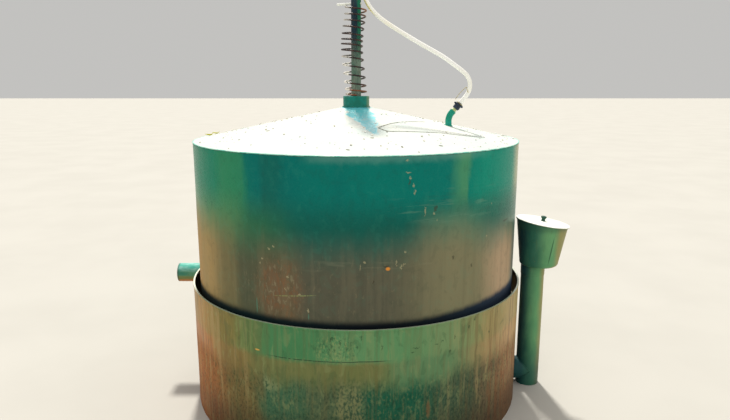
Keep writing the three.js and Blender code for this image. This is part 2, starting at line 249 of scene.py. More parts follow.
# %% Sockets that can be added and multiplied
class Wire:
    """An output socket of a finish's nodes. Arithmetic on it adds Math nodes to the finish."""

    def __init__(self, tree, socket=None):
        self.tree = tree
        self.socket = socket

    def node(self, kind, settings=None, values=None, out=0):
        """Adds a node: first its settings, then the values or wires of its sockets. Gives one output."""
        made = self.tree.nodes.new(kind)
        for name, value in (settings or {}).items():
            if name == "stops":
                set_stops(made.color_ramp, value)
            else:
                setattr(made, name, value)
        for name, value in (values or {}).items():
            if isinstance(value, Wire):
                self.tree.links.new(value.socket, made.inputs[name])
            else:
                made.inputs[name].default_value = value
        return Wire(self.tree, made.outputs[out])

    def maths(self, operation, *values):
        return self.node("ShaderNodeMath", {"operation": operation}, dict(enumerate(values)))

    def __add__(self, other):
        return self.maths("ADD", self, other)

    def __sub__(self, other):
        return self.maths("SUBTRACT", self, other)

    def __rsub__(self, other):
        return self.maths("SUBTRACT", other, self)

    def __mul__(self, other):
        return self.maths("MULTIPLY", self, other)

    __radd__ = __add__
    __rmul__ = __mul__

    def __abs__(self):
        return self.maths("ABSOLUTE", self)

    def to(self, low, high):
        """0 at low and 1 at high, with a smooth rise between. low may be the higher number."""
        settings = {"interpolation_type": "SMOOTHSTEP"}
        return self.node("ShaderNodeMapRange", settings, {"Value": self, "From Min": low, "From Max": high})

    def over(self, base, top, blend="MIX"):
        """This wire as a mask: the base colour where it is 0, the top colour where it is 1."""
        settings = {"data_type": "RGBA", "blend_type": blend}
        return self.node("ShaderNodeMix", settings, {0: self, 6: base, 7: top}, out=2)


def set_stops(ramp, stops):
    while len(ramp.elements) < len(stops):
        ramp.elements.new(1.0)
    for element, (position, colour) in zip(ramp.elements, stops):
        element.position = position
        element.color = colour


# %% Colours, places and patterns
def paint(code):
    """A colour from its usual six-figure code. Below 0.04045 the light is the value over 12.92, and
    above it is ((value + 0.055) / 1.055) to the power 2.4."""
    value = np.array([int(code[k:k + 2], 16) for k in (0, 2, 4)]) / 255
    light = np.where(value <= 0.04045, value / 12.92, ((value + 0.055) / 1.055) ** 2.4)
    return (*light, 1.0)


def tones(noise, low, high, first, second):
    """The first colour where the noise is at low, the second where it is at high."""
    return noise.to(low, high).over(paint(first), paint(second))


def layered(base, layers):
    """Colours laid over a base in turn, each where its mask is 1."""
    for mask, code in layers:
        base = mask.over(base, paint(code))
    return base


def new_finish(name, **constants):
    """A finish with one shader. A constant goes on the shader's own socket."""
    finish = bpy.data.materials.new(name)
    finish.use_nodes = True
    shader = finish.node_tree.nodes["Principled BSDF"]
    for socket, value in constants.items():
        shader.inputs[socket.replace("_", " ")].default_value = value
    return finish, Wire(finish.node_tree), shader


def feed(shader, **wires):
    for socket, wire in wires.items():
        wire.tree.links.new(wire.socket, shader.inputs[socket.replace("_", " ")])


def object_place(start):
    return start.node("ShaderNodeTexCoord", out="Object")


def scaled(place, x, y, z):
    return place.node("ShaderNodeVectorMath", {"operation": "MULTIPLY"}, {0: place, 1: (x, y, z)})


def parted(place):
    """The three numbers of a place as three wires."""
    node = place.tree.nodes.new("ShaderNodeSeparateXYZ")
    place.tree.links.new(place.socket, node.inputs[0])
    return [Wire(place.tree, node.outputs[k]) for k in range(3)]


def from_axis(place):
    """How far a place is from the vertical axis."""
    return place.node("ShaderNodeVectorMath", {"operation": "LENGTH"}, {0: scaled(place, 1, 1, 0)}, out=1)


def clouds(place, scale, detail=3.0, rough=0.55, twist=0.0):
    """Soft noise from about 0.3 to 0.7."""
    values = {"Vector": place, "Scale": scale, "Detail": detail, "Roughness": rough, "Distortion": twist}
    return place.node("ShaderNodeTexNoise", {}, values)


def bumps(height, distance, strength=1.0):
    return height.node("ShaderNodeBump", {}, {"Height": height, "Distance": distance, "Strength": strength})


print("makers ready")

# %% [markdown]
# The gas hose is a garden hose about 18 mm thick, cream and yellowed by the sun. It leaves the clamp
# on the cone, bends over to the left and climbs to the guide pipe, where it is tied. It could be a
# curve with a bevel, but a tube carried along the same points as the solid model's lets each ring
# of points know how far along it is, so the dirt follows the hose along its length.

# %% Finish of the hose
def along_place(start, around):
    """A place on a cord from its own marks: (cos a, sin a, distance along), for patterns that follow it."""
    marks = [start.node("ShaderNodeAttribute", {"attribute_name": name}, out="Fac")
             for name in ("round_cos", "round_sin", "along")]
    return start.node("ShaderNodeCombineXYZ", {}, {0: marks[0] * around, 1: marks[1] * around, 2: marks[2]})


hose_plastic, start, shader = new_finish("hose_plastic", Specular_IOR_Level=0.4)
place = along_place(start, 0.009)
yellowing = clouds(scaled(place, 1, 1, 0.3), 22.0, 3.0)
specks = clouds(place, 160.0, 3.0)
cream = tones(yellowing, 0.38, 0.72, "fffef9", "fbf6e4")
near_top = parted(place)[2].to(0.575, 0.635)
cream = (near_top * parted(place)[0].to(0.001, 0.006) * 0.75).over(cream, paint("e4d862"))
soiled = specks.to(0.62, 0.70) * yellowing.to(0.45, 0.6)
feed(shader, Base_Color=(soiled * 0.05).over(cream, paint("b8aa80")))
feed(shader, Roughness=0.30 + yellowing * 0.25, Normal=bumps(yellowing, 0.0002, 0.1))
print("finish of the hose ready")

# %% Hose
HOSE_RADIUS = 0.009
HOSE_ROUTE = [
    (0.4377, -0.110, 1.2928), (0.4505, -0.110, 1.3082), (0.4632, -0.110, 1.3238), (0.4738, -0.110, 1.3433),
    (0.4776, -0.110, 1.3659), (0.473, -0.1082, 1.3904), (0.4594, -0.105, 1.4114), (0.441, -0.0991, 1.4278),
    (0.4105, -0.0919, 1.4512), (0.3689, -0.081, 1.4812), (0.3283, -0.0719, 1.5055), (0.2854, -0.0628, 1.5294),
    (0.2459, -0.0538, 1.5526), (0.2069, -0.0447, 1.576), (0.1686, -0.0356, 1.5997), (0.1337, -0.0266, 1.6226),
    (0.102, -0.0175, 1.6462), (0.0745, -0.0103, 1.6725), (0.0525, -0.0048, 1.7015), (0.0395, -0.003, 1.7285),
    (0.0341, -0.0028, 1.752), (0.0336, -0.0028, 1.770), (0.0336, -0.0028, 1.785),
]


def cord_marks(path, sides):
    """How far along and how far round each point of a carried section is, its three-ring domes included."""
    steps = np.linalg.norm(np.diff(path, axis=0), axis=1)
    along = np.concatenate([[0, 0, 0, 0], np.cumsum(steps), [steps.sum()] * 3])
    turn = np.tile(np.linspace(0, 2 * np.pi, sides, endpoint=False), len(along))
    return {"along": np.repeat(along, sides), "round_cos": np.cos(turn), "round_sin": np.sin(turn)}


hose_path = smooth(HOSE_ROUTE, 10)
hose = piece("hose", carried(hose_path, HOSE_RADIUS, 40, Y, bulge=0.0), None, hose_plastic,
             ["gas_hose"], marks=cord_marks(hose_path, 40))
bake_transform(hose)

# %% [markdown]
# The hose ends in a moulded fitting above the guide pipe's top. It is turned from one outline with
# grip rings, because a turned part needs no more than its outline.

# %% Finish of the dark plastic
dark_plastic, start, shader = new_finish("dark_plastic", Specular_IOR_Level=0.45)
place = object_place(start)
wear = clouds(place, 45.0, 4.0)
dust = clouds(place, 260.0, 2.0)
wear_and_glint = tones(wear, 0.42, 0.66, "0e1d30", "1e3550")
feed(shader, Base_Color=(dust.to(0.64, 0.74) * 0.3).over(wear_and_glint, paint("6a6d6c")))
feed(shader, Roughness=0.35 + wear * 0.3, Normal=bumps(dust, 0.0003))

# %% Fitting
FITTING_FOOT = (0.0336, -0.0028, 1.7853)

grip = [(0.0092 + 0.0008 * (k % 2), 0.006 + 0.0028 * (k // 2) + 0.0014 * (k % 2)) for k in range(14)]
fitting_outline = [(0, 0), (0.0088, 0), (0.0098, 0.002), (0.0098, 0.005)] + grip
fitting_outline += [(0.0097, 0.0285), (0.0076, 0.0305), (0.0076, 0.0365), (0.0066, 0.038), (0, 0.038)]
fitting_shape = turned_whole(fitting_outline, 0.0006, 40, steps=3)
fitting = piece("fitting", set_along(fitting_shape, FITTING_FOOT, Z, Y), "tank", dark_plastic,
                ["hose_fitting"])

# %% [markdown]
# A coil spring stands on the gas holder's collar, round the guide pipe, and its top end is hooked
# under the stop pin. Its turns are uneven: close at the foot, wide in the middle, close again at the
# top, and the middle bows to the left. One curve gives the height of every turn, and the helix
# follows it.

# %% Finish of the rusty wire
rusty_wire, start, shader = new_finish("rusty_wire", Metallic=0.3, Coat_Weight=0.12, Coat_Roughness=0.2)
place = object_place(start)
x, y, height = parted(place)
rust = clouds(place, 70.0, 5.0)
scale = clouds(place, 420.0, 3.0)
brown = tones(rust, 0.38, 0.62, "1a1311", "38211a")
foot = (height + (rust - 0.5) * 0.03).to(1.372, 1.350)
brown = layered(brown, [
    (foot * 0.9, "7f4828"),
    (height.to(1.645, 1.665) * x.to(0.018, 0.030) * rust.to(0.42, 0.54) * 0.7, "a8683f"),
])
# Pale glints on the left of the wire, on the lower turns and near the top, are painted highlights.
wear_and_glint = height.to(1.505, 1.475) + height.to(1.60, 1.63) * 0.55
rubbed_and_glint = x.to(-0.022, -0.036) * wear_and_glint * rust.to(0.36, 0.48)
brown = (rubbed_and_glint * 0.9).over(brown, paint("f1ebe0"))
feed(shader, Base_Color=(scale.to(0.55, 0.70) * rust.to(0.45, 0.6) * 0.6).over(brown, paint("9a5a30")))
feed(shader, Roughness=0.30 + rust * 0.35, Normal=bumps(scale, 0.0004))

# %% Spring
WIRE_RADIUS = 0.0035
COIL_RADIUS = 0.0445
COIL_BOW = 0.018
TURN_HEIGHTS = [1.324, 1.344, 1.372, 1.408, 1.445, 1.481, 1.510, 1.536, 1.556, 1.578, 1.608, 1.634, 1.659,
                1.683]
LAST_TURN = (13.306, 1.6964)
PIN_HEIGHT = 1.705
SLEEVE_TOP = 1.320

rise = smooth([*enumerate(TURN_HEIGHTS), LAST_TURN], 36)
turn, height = rise[:, 0], rise[:, 1]
angle = -2 * np.pi * turn - np.pi / 2
bow = -COIL_BOW * np.sin(np.pi * turn / len(TURN_HEIGHTS)) ** 2
spring_path = np.stack([bow + COIL_RADIUS * np.cos(angle), COIL_RADIUS * np.sin(angle), height], 1)
spring = piece("spring", carried(spring_path, WIRE_RADIUS, 10, Z), None, rusty_wire,
               ["coil_spring"])
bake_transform(spring)

# %% [markdown]
# The gas holder's wall is gloss green enamel. Up to about 0.86 m the slurry has stained it olive
# and brown, in a level line, because it sinks that far when the gas is used. Upright stripes by
# angle, lighter towards both sides, and pale sandy edges at the left and right are painted
# reflections. Just above the tank's rim it is painted nearly black: partly wet, partly painted
# shade in the narrow gap. Each stain and chip is placed by its angle round the drum, counted from
# the front, and its height.

# %% Places on a round wall
def round_place(place):
    """Degrees round from the front, positive to the right, and the height."""
    x, y, z = parted(place)
    return x.maths("ARCTAN2", x, 0.0 - y) * math.degrees(1), z


def blot(angle, height, at, size, edge=0.35):
    """1 in the middle of an ellipse and 0 outside it: a step of the squared distance."""
    across = (angle - at[0]) * (1 / size[0])
    along = (height - at[1]) * (1 / size[1])
    return (across * across + along * along).to(1.0, edge)


def blots(angle, height, places):
    """The sum of several blots, each (angle, height, half width in degrees, half height)."""
    total = blot(angle, height, places[0][:2], places[0][2:])
    for spot in places[1:]:
        total = total + blot(angle, height, spot[:2], spot[2:])
    return total.maths("MINIMUM", total, 1.0)


# %% Finish of the gas holder's wall
drum_enamel, start, shader = new_finish("drum_enamel", Coat_Roughness=0.15, Specular_IOR_Level=0.05)
place = object_place(start)
angle, height = round_place(place)
bands = clouds(scaled(place, 1, 1, 0.12), 4.0, 2.0)
streaks = clouds(scaled(place, 1, 1, 0.05), 34.0, 4.0)
mottle = clouds(scaled(place, 1, 1, 0.5), 12.0, 4.0, twist=0.4)
grain = clouds(place, 140.0, 3.0)
flakes = clouds(scaled(place, 1, 1, 0.4), 95.0, 4.0, twist=0.6)
wander = (mottle - 0.5) * 0.06 + (streaks - 0.5) * 0.02
sway = angle + (mottle - 0.5) * 5
blotch = clouds(scaled(place, 1, 1, 0.8), 34.0, 4.0, twist=0.5)
scuffs = clouds(scaled(place, 1, 1, 9), 7.0, 4.0, twist=0.2)
behind = abs(angle).to(78, 105)
ahead = 1 - behind

# Upright stripes by angle, lighter towards both sides, are painted reflections in the gloss.
green = layered(tones(bands, 0.38, 0.62, "006d66", "00776c"), [
    (sway.to(-28, -44), "007f62"),
    (sway.to(28, 44), "008d77"),
    (sway.to(-50, -43) * sway.to(-32, -35) * 0.7, "34875c"),
    (sway.to(-29, -26) * sway.to(-19, -23) * 0.6, "125e55"),
    (sway.to(28, 33) * sway.to(37, 35) * 0.8, "4f9469"),
])
# At the right edge the colour turns blue-grey below and beige above: painted reflection.
green = angle.to(61, 70).over(green, tones(height, 0.80, 0.86, "5d7f7c", "a3aa86"))
green = behind.over(green, paint("007f6a"))
# Lower down the green darkens; towards the left it turns lighter and olive, a painted reflection.
lower_green_and_reflection = tones(sway, -12, -30, "0f5d52", "2c6a4c")
lower_green_and_reflection = (sway.to(-30, -42) * ahead).over(lower_green_and_reflection, paint("4f8257"))
green = (height + wander * 0.5).to(1.02, 0.87).over(green, lower_green_and_reflection)
greyed = (height + wander).to(1.0, 0.90) * angle.to(14, 30) * (1 - angle.to(36, 46) * 0.6) * ahead
green = greyed.over(green, paint("3d7c66"))

# The silt turns pale and sandy towards the left and right edges, and blue-grey at the far right: painted
# reflection of bright ground.
silt_and_reflection = layered(tones(sway, 6, 30, "5c5b4b", "827e60"), [
    (sway.to(38, 56), "b59b7c"),
    (angle.to(62, 70), "777a70"),
    (sway.to(-12, -20), "695d46"),
    (sway.to(-26, -32), "575a45"),
    (sway.to(-35, -42), "766e4c"),
    (sway.to(-43, -56), "a68b59"),
    (behind, "857658"),
])
tide = height + wander - abs(angle - 29).to(20, 2) * 0.070 - angle.to(-20, -55) * ahead * 0.045
silted = tide.to(0.900, 0.700)
colour = silted.over(green, silt_and_reflection)
colour = layered(colour, [
    (streaks.to(0.50, 0.66) * silted * 0.12, "3f4436"),
    (streaks.to(0.48, 0.36) * silted * 0.08, "a39a78"),
    (flakes.to(0.60, 0.68) * silted * 0.20, "8d8364"),
    (blotch.to(0.52, 0.66) * (0.09 - silted * 0.04), "3f9a80"),
    (blotch.to(0.47, 0.34) * 0.13, "1c4438"),
])
scuffed = blot(angle, height, (34, 0.955), (30, 0.075), 0.2)
colour = layered(colour, [
    (scuffs.to(0.55, 0.66) * scuffed * 0.20, "86a98f"),
    (scuffs.to(0.44, 0.34) * scuffed * 0.15, "274a3c"),
])
scuffed = blot(angle, height, (2, 0.752), (26, 0.030), 0.2)
colour = (scuffs.to(0.55, 0.66) * scuffed * 0.13).over(colour, paint("a3a284"))
dusty = (height + (blotch - 0.5) * 0.02).to(1.100, 1.134) * sway.to(-16, -9) * angle.to(50, 34)
colour = (dusty * 0.20).over(colour, paint("9dbcae"))

patch = blot(sway, height + wander * 0.4, (-22.5, 0.655), (10, 0.15), 0.05)
colour = layered(colour, [
    (patch * mottle.to(0.40, 0.60) * 0.34, "80624a"),
    (patch * flakes.to(0.50, 0.62) * 0.34, "8c5534"),
    (patch * flakes.to(0.43, 0.36) * 0.32, "a39a7a"),
])
drop_angle = angle + (grain - 0.5) * 1.8
drop_height = height + (flakes - 0.5) * 0.016
chips = blots(drop_angle, drop_height, [
    (15.0, 1.120, 0.35, 0.005), (15.4, 1.078, 0.9, 0.003), (16.0, 1.060, 0.3, 0.006),
    (17.0, 1.034, 0.3, 0.009), (17.4, 1.010, 0.35, 0.010), (23.6, 0.930, 0.35, 0.007),
    (24.4, 0.905, 0.25, 0.005), (14.6, 0.800, 0.25, 0.005), (47.1, 0.935, 0.3, 0.005),
    (45.1, 0.813, 0.3, 0.005), (3.1, 0.768, 0.25, 0.006), (14.4, 0.755, 0.3, 0.006),
    (-28.0, 0.763, 0.3, 0.005), (-28.8, 0.746, 0.25, 0.005), (-13.4, 0.587, 0.4, 0.010),
    (-20.4, 0.660, 0.3, 0.006), (20.6, 0.940, 0.18, 0.020), (-19.6, 0.705, 0.25, 0.006),
    (1.8, 0.752, 0.2, 0.014), (-16.0, 0.645, 0.3, 0.005), (12.2, 0.762, 0.2, 0.014),
    (13.6, 0.748, 0.2, 0.012), (-25.6, 0.800, 0.3, 0.005), (-24.0, 0.812, 0.25, 0.005),
])
colour = (chips * 0.55).over(colour, paint("b3aa84"))
dull_chips = blots(drop_angle, drop_height, [
    (24.0, 0.948, 0.7, 0.012), (15.8, 1.046, 0.3, 0.012), (9.2, 0.752, 0.9, 0.006), (57.5, 0.849, 2.6, 0.005),
    (30.5, 0.760, 0.4, 0.009), (38.0, 0.715, 0.5, 0.008), (5.5, 0.700, 0.3, 0.010),
])
colour = layered(colour, [
    (dull_chips * 0.6, "3d3a2c"),
    (blot(angle, height, (9.7, 0.744), (0.8, 0.008), 0.2), "dd8f3c"),
])
scratch = blot(angle, height - (angle + 24.9) * 0.0013, (-17.6, 0.628), (7.4, 0.0020), 0.6)
colour = (scratch * flakes.to(0.40, 0.55) * 0.8).over(colour, paint("93a067"))
drips = blots(angle, height, [(-30.6, 0.580, 0.25, 0.036), (-13.3, 0.565, 0.2, 0.014)])
# A sandy left edge in the silted part, beside the drips, is painted reflection.
colour = layered(colour, [
    (drips * 0.4, "57a088"),
    (angle.to(-61, -66) * ahead * silted * 0.5, "b58a50"),
])
# The band just above the tank's rim is painted nearly black, navy on the right: partly wet, partly painted
# shade in the narrow gap.
wet_and_shade_line = height + (streaks - 0.5) * 0.014 - angle.to(12, 60) * ahead * 0.020
wet_and_gap_shade = angle.to(5, -30).over(tones(angle, 10, 60, "0d1720", "1c3248"), paint("12282c"))
wet_and_gap_shade = behind.over(wet_and_gap_shade, paint("121f26"))
colour = (wet_and_shade_line.to(0.562, 0.534) * 0.96).over(colour, wet_and_gap_shade)
feed(shader, Base_Color=colour)
feed(shader, Roughness=0.28 + silted * 0.28 + (grain - 0.5) * 0.2, Coat_Weight=0.05 - silted * 0.03)
feed(shader, Normal=bumps(mottle * 0.7 + grain * 0.1 + bands * 0.9 + flakes * silted * 0.2, 0.003, 0.6))
print("finish of the gas holder's wall ready")

# %% Wall of the gas holder
GAP = 0.0003
DRUM_RADIUS = 0.700
DRUM_SHEET = 0.003
DRUM_TOP = 1.136
DRUM_BOTTOM = 0.226


def drum_dents(angle, z):
    """Thin sheet is never true: slow waves round and up the wall, at most 1.4 mm inwards, and none at
    its ends."""
    waves = (np.sin(3 * angle + 5 * z) + 0.6 * np.sin(7 * angle - 9 * z + 1.3)
             + 0.4 * np.sin(13 * angle + 21 * z))
    free = np.clip((z - DRUM_BOTTOM) / 0.1, 0, 1) * np.clip((DRUM_TOP - z) / 0.06, 0, 1)
    return -0.0007 * (1 + waves / 2) * free


wall_top = DRUM_TOP - DRUM_SHEET - GAP
wall_outline = [(DRUM_RADIUS, DRUM_BOTTOM), (DRUM_RADIUS, wall_top), (DRUM_RADIUS - DRUM_SHEET, wall_top),
                (DRUM_RADIUS - DRUM_SHEET, DRUM_BOTTOM)]
piece("drum_wall", turned(finer(rounded(wall_outline, 0.0012), 0.02), 256, push=drum_dents),
                  "gas_holder", drum_enamel, [f"drum_wall_{k}" for k in range(1, 7)])

# %% [markdown]
# The gas holder's roof is a shallow cone of the same sheet, welded to the wall. The sun has bleached
# its paint to a pale, chalky green, and dry litter and dust lie on it. A bead of weld runs round its
# edge, painted pale turquoise as a painted highlight of the sunlit edge. A cyan strip below the
# collar, and a ring round the collar's foot, are a painted shadow of the collar, the spring and the
# guide pipe.

# %% Finish of the cone
CONE_RISE = 0.137
SLEEVE_RADIUS = 0.057
CONE_SLOPE = CONE_RISE / (DRUM_RADIUS - SLEEVE_RADIUS)

cone_chalk, start, shader = new_finish("cone_chalk", Specular_IOR_Level=0.25)
place = object_place(start)
x, y, z = parted(place)
radius = from_axis(place)
drift = clouds(place, 5.0, 4.0, twist=0.5)
crumbs = clouds(place, 130.0, 4.0)
run = clouds(place, 16.0, 4.0, twist=0.8)
bleached = tones(drift, 0.35, 0.65, "c2cbc6", "d3d5cd")
ahead = 0.0 - y
# A cyan strip down the front from the collar, and a ring round the collar's foot: a painted shadow of the
# collar, the spring and the guide pipe.
strip_middle = (ahead - 0.06) * 0.20
strip_half = 0.055 - (ahead - 0.07) * (ahead - 0.07) * 0.30
strip_edge = strip_half - abs(x - strip_middle) + (run - 0.5) * 0.075 + (crumbs - 0.5) * 0.016
painted_shadow_strip = strip_edge.to(0.0, 0.007) * ahead.to(0.0, 0.04) * ahead.to(0.47, 0.42)
near_collar = radius.to(0.078, 0.064)
curls = abs(run - 0.5).to(0.030, 0.008) + abs(run - 0.41).to(0.022, 0.006)
shadow_strip = painted_shadow_strip * (1 - curls * radius.to(0.08, 0.16) * 0.45) + near_collar * 0.6
shadow_strip = shadow_strip.maths("MINIMUM", shadow_strip, 1.0)
colour = (shadow_strip * 0.95).over(bleached, tones(radius, 0.14, 0.40, "4fb8c0", "80cbd6"))
colour = (crumbs.to(0.62, 0.70) * drift.to(0.42, 0.60) * (1 - shadow_strip) * 0.4).over(colour, paint("a39d8e"))
below_sheet = (z.maths("ADD", z, (radius - SLEEVE_RADIUS) * CONE_SLOPE)).to(1.2722, 1.2712)
colour = below_sheet.over(colour, paint("2d2a1c"))
feed(shader, Base_Color=colour, Roughness=0.75 - shadow_strip * 0.3)
feed(shader, Normal=bumps(crumbs * 0.5 + drift * 0.6, 0.0025, 0.5))

# %% Cone
def cone_height(r):
    """Height of the cone's upper face at a distance from the axis: the foot plus the slope times the rest."""
    return DRUM_TOP + (DRUM_RADIUS - r) * CONE_SLOPE


inner = SLEEVE_RADIUS + GAP
cone_outline = [(inner, cone_height(SLEEVE_RADIUS) - DRUM_SHEET), (DRUM_RADIUS, DRUM_TOP - DRUM_SHEET),
                (DRUM_RADIUS, DRUM_TOP), (inner, cone_height(SLEEVE_RADIUS))]
cone_shape = turned(finer(rounded(cone_outline, 0.0008), 0.03), 256)
piece("drum_cone", cone_shape, "gas_holder", cone_chalk,
                  [f"drum_cone_{k}" for k in range(1, 7)])

# %% Makers of weld beads
def lumpy(count, radius, share, seed):
    """A weld's radius along its run: the mean, plus a share of it times three waves that don't repeat."""
    t = np.arange(count) * 1.0
    waves = np.sin(0.9 * t + seed) + 0.7 * np.sin(0.37 * t + 2 * seed) + 0.5 * np.sin(1.9 * t + 3 * seed)
    return radius * (1 + share * waves / 2)


def bead(path, radius, share, seed, across):
    """A weld: a lumpy round section carried along a closed path."""
    return carried(path, lumpy(len(path), radius, share, seed), 8, across, closed=True)


def ring_path(radius, z, count):
    """Points (r cos a, r sin a, z) round the axis."""
    angle = np.linspace(0, 2 * np.pi, count, endpoint=False)
    return np.stack([radius * np.cos(angle), radius * np.sin(angle), np.full(count, z)], 1)


# %% Finish of the bead round the cone
bead_enamel, start, shader = new_finish("bead_enamel", Coat_Weight=0.1, Coat_Roughness=0.2)
highlight_mottle = clouds(object_place(start), 30.0, 4.0)
pits = clouds(object_place(start), 260.0, 3.0)
# The bead is painted pale turquoise: a painted highlight of the sunlit edge.
colour = tones(highlight_mottle, 0.38, 0.62, "5fc0ae", "a9dccc")
feed(shader, Base_Color=(pits.to(0.62, 0.70) * 0.5).over(colour, paint("6f7d68")))
feed(shader, Roughness=0.5 + highlight_mottle * 0.3, Normal=bumps(pits, 0.0005))

# %% [markdown]
# The tank is green enamel too, older and far more stained: pale green below the rim, a thin level
# scratch, an ochre band under it, rust and dark runs towards the ground. Towards its left and right
# edges it turns tan and sandy, partly stain and partly painted reflection. Its rim is bare and pale,
# greyer across the front and painted paler at the sides and back as a painted highlight.

# %% Finish of the tank
tank_enamel, start, shader = new_finish("tank_enamel", Coat_Roughness=0.2, Specular_IOR_Level=0.06)
place = object_place(start)
angle, height = round_place(place)
radius = from_axis(place)
bands = clouds(scaled(place, 1, 1, 0.15), 4.5, 2.0)
streaks = clouds(scaled(place, 1, 1, 0.06), 52.0, 4.0)
drops = clouds(scaled(place, 1, 1, 0.60), 128.0, 4.0)
mottle = clouds(scaled(place, 1, 1, 0.6), 11.0, 4.0, twist=0.5)
scabs = clouds(scaled(place, 1, 1, 0.45), 30.0, 5.0, twist=0.7)
grain = clouds(place, 150.0, 3.0)
wander = (mottle - 0.5) * 0.10 + (streaks - 0.5) * 0.06
sway = angle + (mottle - 0.5) * 9
behind = abs(angle).to(78, 105)
ahead = 1 - behind

# Towards the left and right edges each band turns tan, sandy and orange: partly stain, partly painted
# reflection of bright ground.
upper = layered(tones(sway, -15, -1, "4a8556", "639564"), [
    (sway.to(14, 28), "789566"),
    (sway.to(29, 47), "9e8f5c"),
    (sway.to(-23, -33), "6a814c"),
    (sway.to(-32, -42), "81763f"),
    (sway.to(-43, -58), "ad8444"),
    (sway.to(48, 62), "b59d69"),
    (behind, "7f8054"),
])
middle = layered(tones(sway, 5, 16, "737a4a", "648b60"), [
    (sway.to(25, 46), "a48b5d"),
    (sway.to(44, 60), "c39c6a"),
    (sway.to(-27, -38), "867442"),
    (sway.to(-41, -56), "b67a43"),
    (behind, "857250"),
])
lower = layered(tones(sway, -1, 5, "52664a", "1f5f47"), [
    (sway.to(-10, -18), "446b4e"),
    (sway.to(17, 30), "465c46"),
    (sway.to(33, 46), "6b6048"),
    (sway.to(47, 58), "987250"),
    (sway.to(-24, -33), "73653d"),
    (sway.to(-37, -52), "9a6438"),
    (behind, "665038"),
])
low_edge = height + wander * 0.3 - angle * ahead * 0.00012
colour = low_edge.to(0.422, 0.394).over(upper, middle)
lowered = (height + wander).to(0.365, 0.275)
colour = lowered.over(colour, lower)
far_left = angle.to(-50, -63) * ahead
colour = (far_left * height.to(0.40, 0.28) * 0.8).over(colour, paint("b46a34"))

colour = layered(colour, [
    (scabs.to(0.54, 0.64) * 0.30, "3b5c3c"),
    (scabs.to(0.46, 0.36) * 0.25, "95a06c"),
])
sides = abs(angle + 2).to(24, 46) * (1 - behind * 0.4)
colour = layered(colour, [
    (streaks.to(0.52, 0.62) * (0.20 + sides * 0.20), "6f5636"),
    (streaks.to(0.47, 0.38) * (0.10 + sides * 0.26), "b49a6b"),
])
rust_runs = streaks.to(0.48, 0.56) * abs(angle).to(38, 52) * height.to(0.42, 0.22)
colour = (rust_runs * 0.40).over(colour, paint("a0643f"))
fleck_zone = blot(angle, height, (-5, 0.46), (8, 0.07), 0.1)
colour = layered(colour, [
    (drops.to(0.55, 0.62) * fleck_zone * 0.42, "a3a86c"),
    (drops.to(0.45, 0.38) * fleck_zone * 0.55, "35563a"),
])
column = abs(sway + 1.5).to(5.0, 2.5) * lowered
colour = layered(colour, [
    (drops.to(0.46, 0.56) * column * 0.42, "949263"),
    (drops.to(0.55, 0.63) * lowered * 0.26, "848656"),
    (drops.to(0.46, 0.38) * lowered * 0.45, "20382a"),
])
# Darker towards the ground, less so at the far left.
low_darkening = (height + wander * 0.8).to(0.235, 0.06) * (1 - far_left * 0.5)
colour = (low_darkening * 0.62).over(colour, paint("3e3026"))
marks = blots(angle + (grain - 0.5) * 2, height + (grain - 0.5) * 0.02, [
    (35.5, 0.490, 0.30, 0.011), (30.3, 0.468, 0.30, 0.010), (45.0, 0.440, 0.35, 0.008),
    (2.0, 0.505, 0.4, 0.012), (-6.0, 0.500, 0.8, 0.008), (-3.7, 0.486, 0.4, 0.012),
    (17.5, 0.452, 1.4, 0.003), (16.6, 0.438, 0.5, 0.005), (24.2, 0.455, 0.7, 0.004),
    (26.0, 0.463, 0.5, 0.004), (28.6, 0.415, 0.4, 0.007), (7.8, 0.468, 0.3, 0.010),
    (0.9, 0.470, 0.3, 0.010), (38.0, 0.520, 0.35, 0.016),
])
colour = (marks * 0.6).over(colour, paint("2c4a31"))
seam_height = height + (mottle - 0.5) * 0.008 - angle * 0.00012
seam = seam_height.to(0.4118, 0.4134) * seam_height.to(0.4172, 0.4150)
seam_reach = angle.to(-27, -22) * angle.to(12, 6) * drops.to(0.34, 0.46)
colour = layered(colour, [
    (seam * seam_reach * 0.8, "2c4030"),
    (blot(angle, height, (-29.2, 0.421), (1.0, 0.0035), 0.3), "e0ac55"),
])
pale_patch = blot(sway, height + wander * 0.5, (-25, 0.300), (4.0, 0.035), 0.1)
colour = (pale_patch * drops.to(0.40, 0.55) * 0.6).over(colour, paint("8f976b"))
red_drip = blot(angle + (grain - 0.5) * 1.2, height, (21.7, 0.205), (0.8, 0.045), 0.2)
colour = (red_drip * 0.5).over(colour, paint("86603f"))
# The rim is grey-green across the front and pale at the sides and back, a painted highlight.
rim = height.to(0.5332, 0.5338) * radius.to(0.7210, 0.7218)
rim_paint_and_light = abs(angle).to(56, 72).over(paint("8f9b85"), paint("dfe5d6"))
colour = (rim * (1 - grain.to(0.56, 0.70) * 0.6)).over(colour, rim_paint_and_light)
# The inside of the wall is painted dark olive-brown: slurry crust, and painted shade in the narrow gap.
within = radius.to(0.7262, 0.7254) * (1 - rim)
colour = within.over(colour, tones(streaks, 0.4, 0.6, "3c3b24", "5a4a2c"))
feed(shader, Base_Color=colour)
feed(shader, Roughness=0.38 + lowered * 0.25 + (grain - 0.5) * 0.25, Coat_Weight=0.06 - lowered * 0.04)
feed(shader, Normal=bumps(mottle * 0.8 + grain * 0.25 + bands + scabs * 0.4, 0.003, 0.6))
print("finish of the tank ready")

# %% [markdown]
# The tank's wall is one turned outline with a flat-bar rim. Both pipes pass through real holes: the
# hole is cut by a Boolean and applied at once, because a grid has no clean way round a hole.

